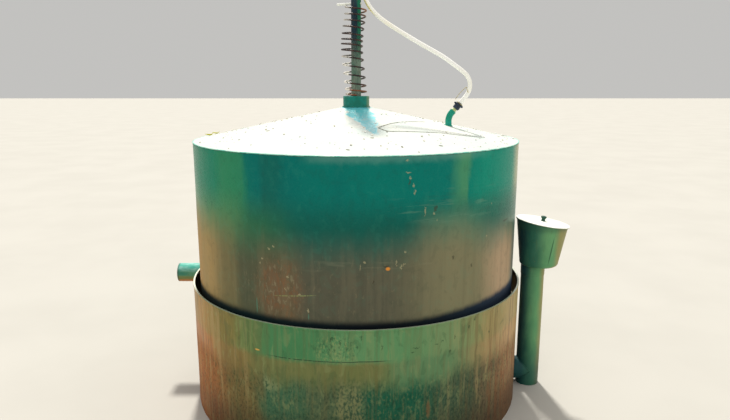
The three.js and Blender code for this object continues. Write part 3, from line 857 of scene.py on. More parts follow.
# %% Wall of the tank
TANK_RADIUS = 0.728
TANK_WALL = 0.004
FLOOR_TOP = 0.0053
TANK_TOP = 0.534
RIM_LOW = 0.526
RIM_OUTER = 0.730
RIM_INNER = 0.722
OUTLET_PLACE = (-0.880, 0.190, 0.458)
OUTLET_RADIUS = 0.045
OUTLET_WALL = 0.004
INLET_PLACE = (0.800, -0.050, 0.070)
INLET_RADIUS = 0.051
INLET_WALL = 0.004
PIPE_REACH = 0.012
HOLE_INSIDE, HOLE_OUTSIDE = 0.62, 0.80


def tank_dents(angle, z):
    """Slow waves round and up the wall, at most 1.4 mm inwards, none at the floor and the rim."""
    waves = (np.sin(2 * angle + 7 * z + 0.6) + 0.7 * np.sin(5 * angle - 11 * z)
             + 0.5 * np.sin(11 * angle + 17 * z))
    free = np.clip((z - FLOOR_TOP) / 0.05, 0, 1) * np.clip((RIM_LOW - z) / 0.06, 0, 1)
    return -0.0007 * (1 + waves / 2.2) * free


def round_bar(radius, length):
    return turned(np.array([(0, 0), (radius, 0), (radius, length), (0, length)]), 64, closed=False)


def cutter(solid):
    """A solid that is only there to be taken out of a piece."""
    return put_in_scene("cutter", merged_mesh("cutter", solid))


def hole_cutter(radius, x_from, x_to, y, z):
    return cutter(set_along(round_bar(radius, x_to - x_from), (x_from, y, z), X, Z))


def cut(obj, cutters):
    """Takes the cutters out of a piece and applies the result."""
    for tool in cutters:
        change = obj.modifiers.new("hole", "BOOLEAN")
        change.operation = "DIFFERENCE"
        change.solver = "EXACT"
        change.object = tool
    bpy.context.view_layer.update()
    ready = obj.evaluated_get(bpy.context.evaluated_depsgraph_get())
    mesh = bpy.data.meshes.new_from_object(ready)
    obj.modifiers.clear()
    obj.data = mesh
    mesh.set_sharp_from_angle(angle=math.radians(35))
    for tool in cutters:
        bpy.data.objects.remove(tool)


inner = TANK_RADIUS - TANK_WALL
tank_outline = [(inner, FLOOR_TOP), (TANK_RADIUS, FLOOR_TOP), (TANK_RADIUS, RIM_LOW), (RIM_OUTER, RIM_LOW),
                (RIM_OUTER, TANK_TOP), (RIM_INNER, TANK_TOP), (RIM_INNER, RIM_LOW), (inner, RIM_LOW)]
tank_nodes = [f"tank_wall_{side}_{k}" for side in ("back", "front") for k in (1, 2, 3)]
tank_wall = piece("tank_wall", turned(finer(rounded(tank_outline, 0.0015), 0.022), 256, push=tank_dents),
                  "tank", tank_enamel, [*tank_nodes, "outlet_plate", "inlet_plate"])
cut(tank_wall, [
    hole_cutter(OUTLET_RADIUS + GAP, -HOLE_OUTSIDE, -HOLE_INSIDE, *OUTLET_PLACE[1:]),
    hole_cutter(INLET_RADIUS + GAP, HOLE_INSIDE, HOLE_OUTSIDE, *INLET_PLACE[1:]),
])
print("holes cut, now", len(tank_wall.data.polygons), "faces")

# %% Weld beads round the cone and the two pipes
def saddle_path(side, radius, y, z, count, round_wall):
    """Where a level pipe meets the round wall: (± sqrt(R^2 - y^2), y + r cos a, z + r sin a)."""
    angle = np.linspace(0, 2 * np.pi, count, endpoint=False)
    across, up = y + radius * np.cos(angle), z + radius * np.sin(angle)
    return np.stack([side * np.sqrt(round_wall**2 - across**2), across, up], 1)


edge_bead = bead(ring_path(DRUM_RADIUS - 0.0012, DRUM_TOP - 0.0006, 720), 0.0021, 0.18, 1.0, Z)
piece("cone_weld", edge_bead, "gas_holder", bead_enamel)
outlet_seam = saddle_path(-1, OUTLET_RADIUS + 0.001, *OUTLET_PLACE[1:], 120, TANK_RADIUS + 0.0004)
outlet_bead = bead(outlet_seam, 0.0030, 0.16, 2.0, X)
inlet_seam = saddle_path(1, INLET_RADIUS + 0.001, *INLET_PLACE[1:], 130, TANK_RADIUS + 0.0004)
inlet_bead = bead(inlet_seam, 0.0030, 0.16, 3.0, X)
piece("pipe_welds", together(outlet_bead, inlet_bead), "tank", tank_enamel)

# %% [markdown]
# The slurry fills the tank to the foot of the outlet pipe. It shows only in the narrow ring between
# the tank and the gas holder, as a wet, nearly black surface with a skin of bubbles, so a thin ring
# is enough.

# %% Finish of the slurry
slurry, start, shader = new_finish("slurry", Specular_IOR_Level=0.5, Coat_Weight=0.4, Coat_Roughness=0.08)
place = object_place(start)
skin = clouds(place, 40.0, 5.0, twist=1.0)
foam = place.node("ShaderNodeTexVoronoi", {"feature": "DISTANCE_TO_EDGE"}, {"Vector": place, "Scale": 160.0})
colour = tones(skin, 0.35, 0.65, "15160d", "3b3118")
feed(shader, Base_Color=(foam.to(0.10, 0.02) * skin.to(0.50, 0.62) * 0.5).over(colour, paint("7a6b40")))
feed(shader, Roughness=0.18 + skin.to(0.5, 0.7) * 0.5, Normal=bumps(skin, 0.003, 0.7))

# %% Slurry in the ring round the gas holder
SLURRY_LEVEL = 0.424
SLURRY_DEPTH = 0.010
RING_INNER, RING_OUTER = 0.7012, inner - 0.0008

ring_outline = [(RING_INNER, SLURRY_LEVEL - SLURRY_DEPTH), (RING_OUTER, SLURRY_LEVEL - SLURRY_DEPTH),
                (RING_OUTER, SLURRY_LEVEL), (RING_INNER, SLURRY_LEVEL)]
piece("slurry_ring", turned(finer(np.array(ring_outline), 0.004), 256), "tank", slurry)

# %% [markdown]
# The sleeve in the middle of the gas holder slides on the guide pipe. Its top stands out of the cone
# as a short collar with a plate on it, glossy green and hardly faded. Four braces and a foot plate
# under the slurry keep it in line. All of them, and the gas outlet, wear the same paint.

# %% Finish of the collar and the gas outlet
collar_enamel, start, shader = new_finish("collar_enamel", Coat_Weight=0.3, Coat_Roughness=0.1,
                                          Specular_IOR_Level=0.15)
place = object_place(start)
x, y, z = parted(place)
wear = clouds(place, 28.0, 4.0)
chipped = clouds(place, 110.0, 3.0)
colour = tones(wear, 0.35, 0.65, "006f5e", "007f72")
# The collar's right side is painted olive: a painted highlight.
colour = (x.to(0.040, 0.054) * x.to(0.20, 0.10) * 0.6).over(colour, paint("7f9468"))
colour = x.to(0.20, 0.30).over(colour, tones(wear, 0.35, 0.65, "008a70", "0aa08c"))
colour = layered(colour, [
    (chipped.to(0.66, 0.72) * 0.6, "5a5a3c"),
    (z.to(0.88, 0.80), "3c3a2a"),
])
feed(shader, Base_Color=colour, Roughness=0.30 + wear * 0.3)
feed(shader, Normal=bumps(wear * 0.6 + chipped * 0.2, 0.0015, 0.6))

# %% Sleeve and collar plate
SLEEVE_WALL = 0.0036
PLATE = 0.006
GUIDE_HOLE = 0.030

sleeve_low, sleeve_high = DRUM_BOTTOM + PLATE + GAP, SLEEVE_TOP - PLATE - GAP
sleeve_outline = [(SLEEVE_RADIUS - SLEEVE_WALL, sleeve_low), (SLEEVE_RADIUS, sleeve_low),
                  (SLEEVE_RADIUS, sleeve_high), (SLEEVE_RADIUS - SLEEVE_WALL, sleeve_high)]
piece("sleeve", turned(rounded(sleeve_outline, 0.0008), 96), "gas_holder", collar_enamel,
      ["centre_sleeve"])
plate_outline = [(GUIDE_HOLE, SLEEVE_TOP - PLATE), (SLEEVE_RADIUS, SLEEVE_TOP - PLATE),
                 (SLEEVE_RADIUS, SLEEVE_TOP), (GUIDE_HOLE, SLEEVE_TOP)]
piece("collar_top", turned(rounded(plate_outline, 0.0012), 96), "gas_holder", collar_enamel,
      ["collar_plate"])
collar_low = cone_height(SLEEVE_RADIUS)
foot_bead = bead(ring_path(SLEEVE_RADIUS + 0.0012, collar_low + 0.0012, 160), 0.0030, 0.18, 4.0, Z)
plate_bead = bead(ring_path(SLEEVE_RADIUS - 0.0004, SLEEVE_TOP - PLATE, 160), 0.0014, 0.2, 5.0, Z)
piece("collar_welds", together(foot_bead, plate_bead), "gas_holder", collar_enamel)

# %% [markdown]
# The guide pipe is a plain steel pipe, dark green where the paint holds and rusty where the sleeve
# and the spring have rubbed it. It stands in a socket on the tank's floor. A pale pin through it
# near the top stops the gas holder, and a cap closes it.

# %% Finish of the guide pipe
guide_enamel, start, shader = new_finish("guide_enamel", Coat_Roughness=0.2, Specular_IOR_Level=0.2)
place = object_place(start)
x, y, z = parted(place)
wear = clouds(scaled(place, 1, 1, 0.35), 34.0, 4.0)
rubbed_and_glint = clouds(scaled(place, 1, 1, 0.12), 120.0, 3.0)
# The left half is painted navy, a painted shade; the right half is green.
shaded_side = tones(wear, 0.35, 0.65, "14283a", "1d3c46")
colour = (x + (wear - 0.5) * 0.014).to(0.001, 0.010).over(shaded_side, paint("0a6f52"))
faded = (z + (wear - 0.5) * 0.10).to(1.60, 1.44)
colour = faded.over(colour, tones(wear, 0.35, 0.65, "4f6f60", "7f8f80"))
colour = layered(colour, [
    (rubbed_and_glint.to(0.54, 0.64) * wear.to(0.46, 0.58) * 0.6, "4f3f30"),
    (z.to(0.50, 0.42), "29261a"),
])
feed(shader, Base_Color=colour, Roughness=0.35 + wear * 0.35, Coat_Weight=0.15 - wear.to(0.4, 0.6) * 0.1)
feed(shader, Normal=bumps(wear * 0.4 + rubbed_and_glint * 0.4, 0.0012, 0.6))

# %% Guide pipe and cap
PIPE_RADIUS = 0.0212
PIPE_WALL = 0.0032
PIPE_TOP = 1.800
PIPE_FOOT = 0.0136

pipe_outline = [(PIPE_RADIUS - PIPE_WALL, PIPE_FOOT), (PIPE_RADIUS, PIPE_FOOT), (PIPE_RADIUS, PIPE_TOP),
                (PIPE_RADIUS - PIPE_WALL, PIPE_TOP)]
guide_tube = turned(finer(rounded(pipe_outline, 0.0006), 0.05), 48)
piece("guide_tube", guide_tube, "tank", guide_enamel, ["guide_pipe"])
cap_low = PIPE_TOP + GAP
cap_outline = [(0, cap_low), (0.0227, cap_low), (0.0227, cap_low + 0.0055), (0.0205, cap_low + 0.0078),
               (0.010, cap_low + 0.009), (0, cap_low + 0.009)]
piece("pipe_cap", turned_whole(cap_outline, 0.002, 48), "tank", guide_enamel,
      ["guide_cap"])

# %% Finish of the pale steel
pale_steel, start, shader = new_finish("pale_steel", Specular_IOR_Level=0.35)
place = object_place(start)
chalk = clouds(place, 26.0, 4.0)
dots = clouds(place, 210.0, 3.0)
colour = tones(chalk, 0.35, 0.65, "f0f1ea", "d9ddd0")
colour = (dots.to(0.66, 0.74) * chalk.to(0.44, 0.56) * 0.5).over(colour, paint("9a8058"))
feed(shader, Base_Color=colour, Roughness=0.50 + chalk * 0.3)
feed(shader, Normal=bumps(chalk * 0.5 + dots * 0.3, 0.0012, 0.6))

# %% Stop pin
PIN_RADIUS = 0.005
PIN_LENGTH = 0.112
PIN_ANGLE = math.radians(160)

pin_ahead = np.array([math.cos(PIN_ANGLE), math.sin(PIN_ANGLE), 0.0])
pin_start = pin_ahead * (-PIPE_RADIUS - 0.004) + PIN_HEIGHT * Z
pin_outline = [(0, 0), (PIN_RADIUS, 0), (PIN_RADIUS, PIN_LENGTH), (0, PIN_LENGTH)]
pin_shape = turned_whole(pin_outline, 0.0014, 24)
piece("pin", set_along(pin_shape, pin_start, pin_ahead, Z), "tank", pale_steel, ["stop_pin"])

# %% [markdown]
# Rusty wire ties the hose to the guide pipe: a few turns round both, and the ends twisted together.
# The band round two unequal circles is two arcs that meet where a common tangent touches them. The
# wire climbs a little each turn, so the turns lie on each other.

# %% Wire tie
TIE_WIRE = 0.0019
TIE_LOW = 1.7655
TIE_TURNS = 3


def band_path(hose_at, clearance, low, pitch, turns, count):
    """Two arcs, one round the pipe and one round the hose, repeated while z rises by pitch a turn."""
    hose_at = np.asarray(hose_at)
    heading = math.atan2(hose_at[1], hose_at[0])
    spread = math.acos((PIPE_RADIUS - HOSE_RADIUS) / np.linalg.norm(hose_at))
    one = np.linspace(0, 1, count)[:, None]
    round_pipe = heading + spread + one * (2 * np.pi - 2 * spread)
    round_hose = heading - spread + one * 2 * spread
    pipe_arc = (PIPE_RADIUS + clearance) * np.hstack([np.cos(round_pipe), np.sin(round_pipe)])
    hose_arc = hose_at + (HOSE_RADIUS + clearance) * np.hstack([np.cos(round_hose), np.sin(round_hose)])
    flat = np.tile(np.vstack([pipe_arc, hose_arc]), (turns, 1))
    height = low + pitch * turns * np.linspace(0, 1, len(flat))
    return np.column_stack([flat, height])


def twist_path(start, ahead, length, radius, turns, phase, count):
    """One strand of a twisted pair: a helix of that radius about a straight line."""
    t = np.linspace(0, 1, count)[:, None]
    w = unit(np.asarray(ahead, float))
    u = unit(np.cross(w, X))
    v = np.cross(w, u)
    angle = 2 * np.pi * turns * t + phase
    return np.asarray(start) + w * length * t + radius * (u * np.cos(angle) + v * np.sin(angle))


tie_path = band_path(HOSE_ROUTE[-1][:2], 0.0029, TIE_LOW + TIE_WIRE, 2 * TIE_WIRE * 0.98, TIE_TURNS, 18)
twist_start = (0.012, -0.0265, TIE_LOW + 0.004)
strands = [carried(twist_path(twist_start, (0.5, -1.0, -0.9), 0.020, 0.0018, 2.5, phase, 40), 0.0013, 8, X)
           for phase in (0, np.pi)]
piece("tie_wire", together(carried(tie_path, TIE_WIRE, 8, Z), *strands), "tank", rusty_wire,
      ["hose_tie"])

# %% [markdown]
# The gas leaves the cone by a bent green pipe, welded on. A pale nipple with barbs sticks out of
# its end, and a dark clamp grips the hose there. The clamp is a turned band with a screw beside it,
# and the end of the wire that once held the hose stands up behind.

# %% Gas outlet
OUTLET_PLANE = -0.110
GAS_PIPE_RADIUS = 0.0135
GAS_PIPE_ROUTE = [(0.393, 1.186), (0.3915, 1.208), (0.392, 1.227), (0.399, 1.246), (0.411, 1.2605)]

gas_route = np.array([(x, OUTLET_PLANE, z) for x, z in GAS_PIPE_ROUTE])
gas_path = smooth(gas_route, 10)
gas_path = gas_path[gas_path[:, 2] > 1.1962]
gas_end, gas_ahead = gas_path[-1], unit(gas_path[-1] - gas_path[-2])
piece("gas_pipe", carried(gas_path, GAS_PIPE_RADIUS, 32, Y, bulge=0.0), "gas_holder", collar_enamel,
      ["gas_outlet"])


def cone_ring(centre, radius, lift, count):
    """A circle seen from above, laid on the cone: each point's height is the cone's there, plus the lift."""
    angle = np.linspace(0, 2 * np.pi, count, endpoint=False)
    x, y = centre[0] + radius * np.cos(angle), centre[1] + radius * np.sin(angle)
    return np.stack([x, y, cone_height(np.hypot(x, y)) + lift], 1)


GAS_PIPE_FOOT = (0.392, OUTLET_PLANE)

pipe_bead = bead(cone_ring(GAS_PIPE_FOOT, GAS_PIPE_RADIUS + 0.0012, 0.0012, 70), 0.0030, 0.2, 6.0, Z)
piece("gas_pipe_weld", pipe_bead, "gas_holder", collar_enamel)

# %% Finish of the pale plastic
pale_plastic, start, shader = new_finish("pale_plastic", Specular_IOR_Level=0.4)
place = object_place(start)
haze = clouds(place, 90.0, 3.0)
feed(shader, Base_Color=tones(haze, 0.38, 0.64, "dfe8b4", "b9c88a"))
feed(shader, Roughness=0.3 + haze * 0.3, Normal=bumps(haze, 0.0004))

# %% Nipple and clamp
NIPPLE_LENGTH = 0.011

barbs = [(0, 0), (0.0100, 0), (0.0100, 0.0032), (0.0086, 0.0044), (0.0100, 0.0052), (0.0086, 0.0074),
         (0.0098, 0.0082), (0.0084, 0.0110), (0, 0.0110)]
nipple_shape = turned_whole(barbs, 0.0003, 32, steps=3)
piece("nipple", set_along(nipple_shape, gas_end + gas_ahead * GAP, gas_ahead, Y), "gas_holder", pale_plastic,
      ["hose_nipple"])
clamp_outline = [(0, 0), (0.0128, 0), (0.0138, 0.0012), (0.0138, 0.0050), (0.0150, 0.0062), (0.0150, 0.0105),
                 (0.0139, 0.0118), (0.0139, 0.0172), (0.0150, 0.0185), (0.0150, 0.0235), (0.0138, 0.0248),
                 (0.0136, 0.0288), (0.0126, 0.0300), (0, 0.0300)]
clamp_start = gas_end + gas_ahead * (NIPPLE_LENGTH + 2 * GAP)
clamp_shape = turned_whole(clamp_outline, 0.0006, 40, steps=3)
clamp_body = set_along(clamp_shape, clamp_start, gas_ahead, Y)
beside = unit(np.cross(gas_ahead, Y))
ear = turned_whole([(0, -0.0014), (0.0046, -0.0014), (0.0046, 0.0014), (0, 0.0014)], 0.0008, 20)
ear = (ear[0] * np.array([1.25, 1.0, 1.0]), ear[1])
stem = turned_whole([(0, 0), (0.0017, 0), (0.0017, 0.0150), (0, 0.0150)], 0.0004, 12)
head = turned_whole([(0, 0), (0.0034, 0), (0.0034, 0.0036), (0, 0.0036)], 0.0006, 6)
upper_side, lower_side = clamp_start + beside * 0.0155, clamp_start - beside * 0.0155
parts = [
    clamp_body,
    set_along(ear, upper_side + gas_ahead * 0.0190 - Y * 0.0035, Y, gas_ahead),
    set_along(ear, upper_side + gas_ahead * 0.0190 + Y * 0.0035, Y, gas_ahead),
    set_along(ear, lower_side + gas_ahead * 0.0230, Y, gas_ahead),
    set_along(stem, upper_side + gas_ahead * 0.0190 + beside * 0.0018 - Y * 0.0075, Y, Z),
    set_along(head, upper_side + gas_ahead * 0.0190 + beside * 0.0018 - Y * 0.0105, Y, Z),
]
piece("clamp", together(*parts), "gas_holder", dark_plastic, ["hose_clamp"])

# %% Wire that once held the hose
straw_wire, start, shader = new_finish("straw_wire", Metallic=0.2, Specular_IOR_Level=0.4)
place = object_place(start)
tarnish = clouds(place, 140.0, 3.0)
feed(shader, Base_Color=tones(tarnish, 0.4, 0.6, "cdc284", "94844f"))
feed(shader, Roughness=0.4 + tarnish * 0.3, Normal=bumps(tarnish, 0.0003))

TAIL_WIRE = 0.0011
TAIL_LINE = [(0.4171, 1.3094), (0.4235, 1.3192), (0.4330, 1.3317), (0.4463, 1.3456), (0.4598, 1.3580),
             (0.4617, 1.3560), (0.4643, 1.3470), (0.4694, 1.3362)]

tail_wrap = clamp_start + gas_ahead * 0.0272
wrap_angle = np.linspace(0, 2 * np.pi, 40, endpoint=False)[:, None]
wrap = tail_wrap + 0.0146 * (beside * np.cos(wrap_angle) + Y * np.sin(wrap_angle))
tail = smooth([(x, OUTLET_PLANE - 0.010, z) for x, z in TAIL_LINE], 8)
tail_end = carried(tail, TAIL_WIRE, 8, Y)
tail_wire = together(carried(wrap, TAIL_WIRE, 8, gas_ahead, closed=True), tail_end)
piece("wire_tail", tail_wire, "gas_holder", straw_wire)

# %% [markdown]
# The slurry outlet is a stub of 90 mm pipe through the tank's wall, and its inner end follows the
# wall's curve. Its top is painted pale turquoise, a painted highlight of the sun, and slurry has
# stained it brown underneath.
# It is a hollow pipe, open at its end.

# %% Finish of the outlet
outlet_enamel, start, shader = new_finish("outlet_enamel", Coat_Weight=0.12, Coat_Roughness=0.15,
                                          Specular_IOR_Level=0.2)
place = object_place(start)
x, y, z = parted(place)
wear = clouds(scaled(place, 0.5, 1, 1), 26.0, 4.0)
spots = clouds(place, 95.0, 4.0)
level = z + (wear - 0.5) * 0.014
colour = tones(wear, 0.35, 0.65, "33806c", "5a9370")
# Pale turquoise top: a painted highlight.
colour = (level.to(0.468, 0.490) * 0.85).over(colour, tones(wear, 0.35, 0.65, "45b7a4", "a9dcd6"))
colour = layered(colour, [
    (level.to(0.458, 0.446), "77834c"),
    (level.to(0.440, 0.426), "b5742f"),
    (spots.to(0.64, 0.72) * 0.5, "5b4a30"),
])
# The open end is painted darker: a painted shade of the bore.
mouth = (x + (wear - 0.5) * 0.01).to(-0.868, -0.878)
feed(shader, Base_Color=(mouth * 0.6).over(colour, paint("3a4a38")), Roughness=0.35 + wear * 0.35)
feed(shader, Normal=bumps(wear * 0.6 + spots * 0.3, 0.0015, 0.6))

# %% Outlet pipe
def hollow(bore, outer, length, sides=64):
    """A pipe's outline: bore and outside, with rounded edges, turned about its axis."""
    outline = [(bore, 0), (outer, 0), (outer, length), (bore, length)]
    return turned(finer(rounded(outline, 0.0012), 0.03), sides)


STUB_REACH = 0.24

stub = hollow(OUTLET_RADIUS - OUTLET_WALL, OUTLET_RADIUS, STUB_REACH)
stub_points, stub_faces = set_along(stub, OUTLET_PLACE, X, Z)
outer_end = OUTLET_PLACE[0]
inner_end = -np.sqrt((TANK_RADIUS - TANK_WALL - PIPE_REACH) ** 2 - stub_points[:, 1] ** 2)
stub_points[:, 0] = outer_end + (stub_points[:, 0] - outer_end) * (inner_end - outer_end) / STUB_REACH
piece("outlet_stub", (stub_points, stub_faces), "tank", outlet_enamel, ["outlet_pipe"])

# %% [markdown]
# Feed goes in through the hopper on the right, down an upright pipe and through a short branch into
# the tank. The pipe is a 4 inch pipe painted green, with a coupling under the hopper.

# %% Finish of the inlet
inlet_enamel, start, shader = new_finish("inlet_enamel", Coat_Roughness=0.15, Specular_IOR_Level=0.2)
place = object_place(start)
x, y, z = parted(place)
wear = clouds(scaled(place, 1, 1, 0.4), 18.0, 4.0)
runs = clouds(scaled(place, 1, 1, 0.08), 90.0, 3.0)
spots = clouds(place, 120.0, 3.0)
across = x + (wear - 0.5) * 0.024
pipe_part = z.to(0.585, 0.565)
shaded = tones(wear, 0.35, 0.65, "2f6c59", "3e7863")
lit = tones(wear, 0.35, 0.65, "5c9a68", "6ba470")
colour = (across + pipe_part * 0.022).to(0.772, 0.838).over(shaded, lit)
# A navy left edge is painted shade, and a khaki right edge is painted light from the bright ground.
colour = layered(colour, [
    ((across - pipe_part * 0.020).to(0.766, 0.732), "1f464e"),
    ((across + pipe_part * 0.050).to(0.860, 0.895), "93905a"),
])
# Dark in the fold of the sheet: painted shade.
fold = blot(x - (z - 0.66) * 0.12, z, (0.851, 0.655), (0.0035, 0.075), 0.3) * y.to(-0.05, -0.08)
colour = layered(colour, [
    (fold * 0.75, "1f4f35"),
    (z.to(0.730, 0.755) * 0.45, "33604c"),
    (runs.to(0.58, 0.68) * 0.25, "55704a"),
])
on_knob = z.to(0.765, 0.768) * abs(x - 0.836).to(0.03, 0.02) * abs(y + 0.05).to(0.03, 0.02)
# Low down, towards the ground, the pipe and the branch are painted dark teal: painted shade.
colour = layered(colour, [
    (on_knob * 0.8, "16403c"),
    (spots.to(0.66, 0.74) * 0.4, "77754f"),
    ((z + (wear - 0.5) * 0.06).to(0.26, 0.04) * 0.75, "124a48"),
])
feed(shader, Base_Color=colour, Roughness=0.38 + wear * 0.3, Coat_Weight=0.12 - wear.to(0.45, 0.6) * 0.08)
feed(shader, Normal=bumps(wear * 0.6 + spots * 0.2, 0.0015, 0.6))

# %% Inlet pipe with its coupling, and the branch
HOPPER_FOOT = 0.570
COUPLING_LOW, COUPLING_TOP = 0.529, 0.5695
COUPLING_RADIUS = 0.0526
BRANCH_HOLE = 0.72
BRANCH_OVERLAP = 0.0006
CUTTER_BELOW, CUTTER_LENGTH = 0.05, 0.25

bore = INLET_RADIUS - INLET_WALL
pipe_profile = [(bore, 0), (INLET_RADIUS, 0), (INLET_RADIUS, COUPLING_LOW - 0.002),
                (COUPLING_RADIUS, COUPLING_LOW), (COUPLING_RADIUS, COUPLING_TOP),
                (INLET_RADIUS - 0.001, HOPPER_FOOT), (bore, HOPPER_FOOT)]
upright = turned(finer(rounded(pipe_profile, 0.0010), 0.03), 80)
foot = np.array([INLET_PLACE[0], INLET_PLACE[1], 0.0])
inlet_column = piece("inlet_column", (upright[0] + foot, upright[1]), "tank", inlet_enamel,
                     ["inlet_pipe"])
cut(inlet_column, [hole_cutter(bore, BRANCH_HOLE, *INLET_PLACE)])
branch_from = TANK_RADIUS - TANK_WALL - PIPE_REACH
branch_shape = hollow(bore, INLET_RADIUS, INLET_PLACE[0] - branch_from)
branch = piece("branch", set_along(branch_shape, (branch_from, INLET_PLACE[1], INLET_PLACE[2]), X, Z), "tank",
               inlet_enamel, ["inlet_branch"])
pipe_space = round_bar(INLET_RADIUS - BRANCH_OVERLAP, CUTTER_LENGTH)
cut(branch, [cutter(set_along(pipe_space, foot - CUTTER_BELOW * Z, Z, X))])
branch_path = foot + saddle_path(-1, INLET_RADIUS, 0, INLET_PLACE[2], 130, INLET_RADIUS)
piece("branch_weld", bead(branch_path, 0.0024, 0.16, 4.0, X), "tank", inlet_enamel)

# %% [markdown]
# The hopper is a sheet bucket with a rounded foot. It leans outwards and its mouth is cut at a slant,
# so it isn't a turned shape: each ring is shifted sideways by its height, and the top ring stops
# where the wall meets the slanting plane. Both faces of the sheet are one grid that goes up outside,
# over the rim and down inside, to the hole over the pipe.

# %% Hopper
HOPPER_AXIS = (0.824, 0.834)
HOPPER_MOUTH = 0.767
FOOT_RADIUS, MOUTH_RADIUS = 0.085, 0.1145
HOPPER_SHEET = 0.003
HOPPER_ROUND = 0.016
MOUTH_TILT = math.radians(9)
HOPPER_SIDES = 128


def hopper_ring(radius, z, angle):
    """A level ring, shifted along X by the bucket's lean at its height."""
    share = (z - HOPPER_FOOT) / (HOPPER_MOUTH - HOPPER_FOOT)
    centre = HOPPER_AXIS[0] + (HOPPER_AXIS[1] - HOPPER_AXIS[0]) * share
    x, y = centre + radius * np.cos(angle), INLET_PLACE[1] + radius * np.sin(angle)
    return np.stack([x, y, z + 0 * angle], -1)


def hopper_face(inset, rows, angle):
    """Rings from the hole over the pipe, across the floor, round the foot and up to the slanting mouth."""
    slope = (MOUTH_RADIUS - FOOT_RADIUS) / (HOPPER_MOUTH - HOPPER_FOOT)
    low = HOPPER_FOOT + GAP + inset
    bend = HOPPER_ROUND - inset
    hole_x, hole_y = INLET_PLACE[0] + bore * np.cos(angle), INLET_PLACE[1] + bore * np.sin(angle)
    hole = np.stack([hole_x, hole_y, low + 0 * angle], -1)
    arc = np.radians(np.linspace(0, 90, 7))[:, None]
    corner_radius = FOOT_RADIUS - HOPPER_ROUND + bend * np.sin(arc)
    corner = hopper_ring(corner_radius, low + bend * (1 - np.cos(arc)), angle[None])
    floor = hole + (corner[0] - hole) * np.linspace(0, 1, 5)[:-1, None, None]
    lean = (HOPPER_AXIS[1] - HOPPER_AXIS[0]) / (HOPPER_MOUTH - HOPPER_FOOT)
    start_z = low + bend
    start_x = HOPPER_AXIS[0] + lean * (start_z - HOPPER_FOOT) + (FOOT_RADIUS - inset) * np.cos(angle)
    drop = math.tan(MOUTH_TILT)
    rise_x = lean + slope * np.cos(angle)
    climb = (HOPPER_MOUTH - start_z - (start_x - HOPPER_AXIS[1]) * drop) / (1 + rise_x * drop)
    share = np.linspace(0, 1, rows)[1:, None]
    z = start_z + climb * share
    wall = hopper_ring(FOOT_RADIUS - inset + slope * (z - start_z), z, angle[None])
    return np.concatenate([floor, corner, wall])


hopper_angle = np.linspace(0, 2 * np.pi, HOPPER_SIDES, endpoint=False)
outside = hopper_face(0.0, 24, hopper_angle)
seam_place = np.exp(-(((hopper_angle + np.pi) % (2 * np.pi) - np.pi + math.radians(68)) / 0.05) ** 2)
outward = np.stack([np.cos(hopper_angle), np.sin(hopper_angle), 0 * hopper_angle], -1)
crease = np.sin(np.pi * np.clip((outside[:, :, 2] - 0.60) / 0.13, 0, 1)) * seam_place
outside = outside - 0.0022 * crease[:, :, None] * outward
inside = hopper_face(HOPPER_SHEET, 24, hopper_angle)[::-1]
grid = np.concatenate([outside, inside])
hopper_shape = facing_out(grid.reshape(-1, 3), grid_faces(len(grid), HOPPER_SIDES, True, True))
mouth = outside[-1] + outward * 0.0010 - Z * 0.0022
hopper_rim = carried(mouth, 0.0021, 10, Z, closed=True)
piece("hopper", together(hopper_shape, hopper_rim), "tank", inlet_enamel, ["feed_hopper"])

# %% Lid and knob of the hopper
LID_RADIUS = 0.118
LID_SHEET = 0.003

lid_up = np.array([math.sin(MOUTH_TILT), 0.0, math.cos(MOUTH_TILT)])
lid_at = np.array([HOPPER_AXIS[1], INLET_PLACE[1], HOPPER_MOUTH])
lid_outline = [(0, 0.0014), (0.100, 0.0010), (0.112, GAP), (LID_RADIUS, GAP), (LID_RADIUS, GAP + LID_SHEET),
               (0.112, GAP + LID_SHEET), (0.098, GAP + LID_SHEET + 0.0012), (0, GAP + LID_SHEET + 0.0016)]
lid_shape = turned_whole(lid_outline, 0.0014, 128)
piece("lid", set_along(lid_shape, lid_at, lid_up, Y), "lid", pale_steel, ["hopper_lid"])
knob_low = GAP + LID_SHEET + 0.0018
knob_outline = [(0, knob_low), (0.0105, knob_low), (0.0084, knob_low + 0.003), (0.0072, knob_low + 0.008),
                (0.0110, knob_low + 0.0125), (0.0130, knob_low + 0.0165), (0.0122, knob_low + 0.0200),
                (0.0085, knob_low + 0.0220), (0, knob_low + 0.0224)]
knob_shape = turned_whole(knob_outline, 0.002, 40)
piece("knob", set_along(knob_shape, lid_at, lid_up, Y), "lid", inlet_enamel, ["lid_knob"])

# %% [markdown]
# Dry leaves, bits of bark and crumbs have fallen on the cone, thickest at the back. Each leaf is a
# small curved sheet, and each crumb a rough eight-sided grain. One formula places them all: every
# copy gets its own turn, size, lean and place on the cone, as arrays. A tint mark on each copy lets
# one finish give them different colours. The dark bits on the near side lie where the photograph
# shows them: their pixels are followed from the camera down to the cone.

# %% Finish of the litter
litter_dry, start, shader = new_finish("litter_dry", Specular_IOR_Level=0.2)
tint = start.node("ShaderNodeAttribute", {"attribute_name": "tint"}, out="Fac")
# The near-white tints are partly painted light: pale crumbs made white for the glare of the sun.
stops = [(0.0, paint("f8f6f1")), (0.3, paint("e2dccd")), (0.55, paint("a6a598")), (0.8, paint("6d6b63")),
         (1.0, paint("cfc92e"))]
colour = tint.node("ShaderNodeValToRGB", {"stops": stops}, {0: tint})
veins = clouds(object_place(start), 240.0, 3.0)
feed(shader, Base_Color=(veins.to(0.5, 0.7) * 0.2).over(colour, paint("7d7468")))
feed(shader, Roughness=0.7 + veins * 0.2, Normal=bumps(veins, 0.0004))

# %% Copies laid on the cone
dice = np.random.default_rng(41)


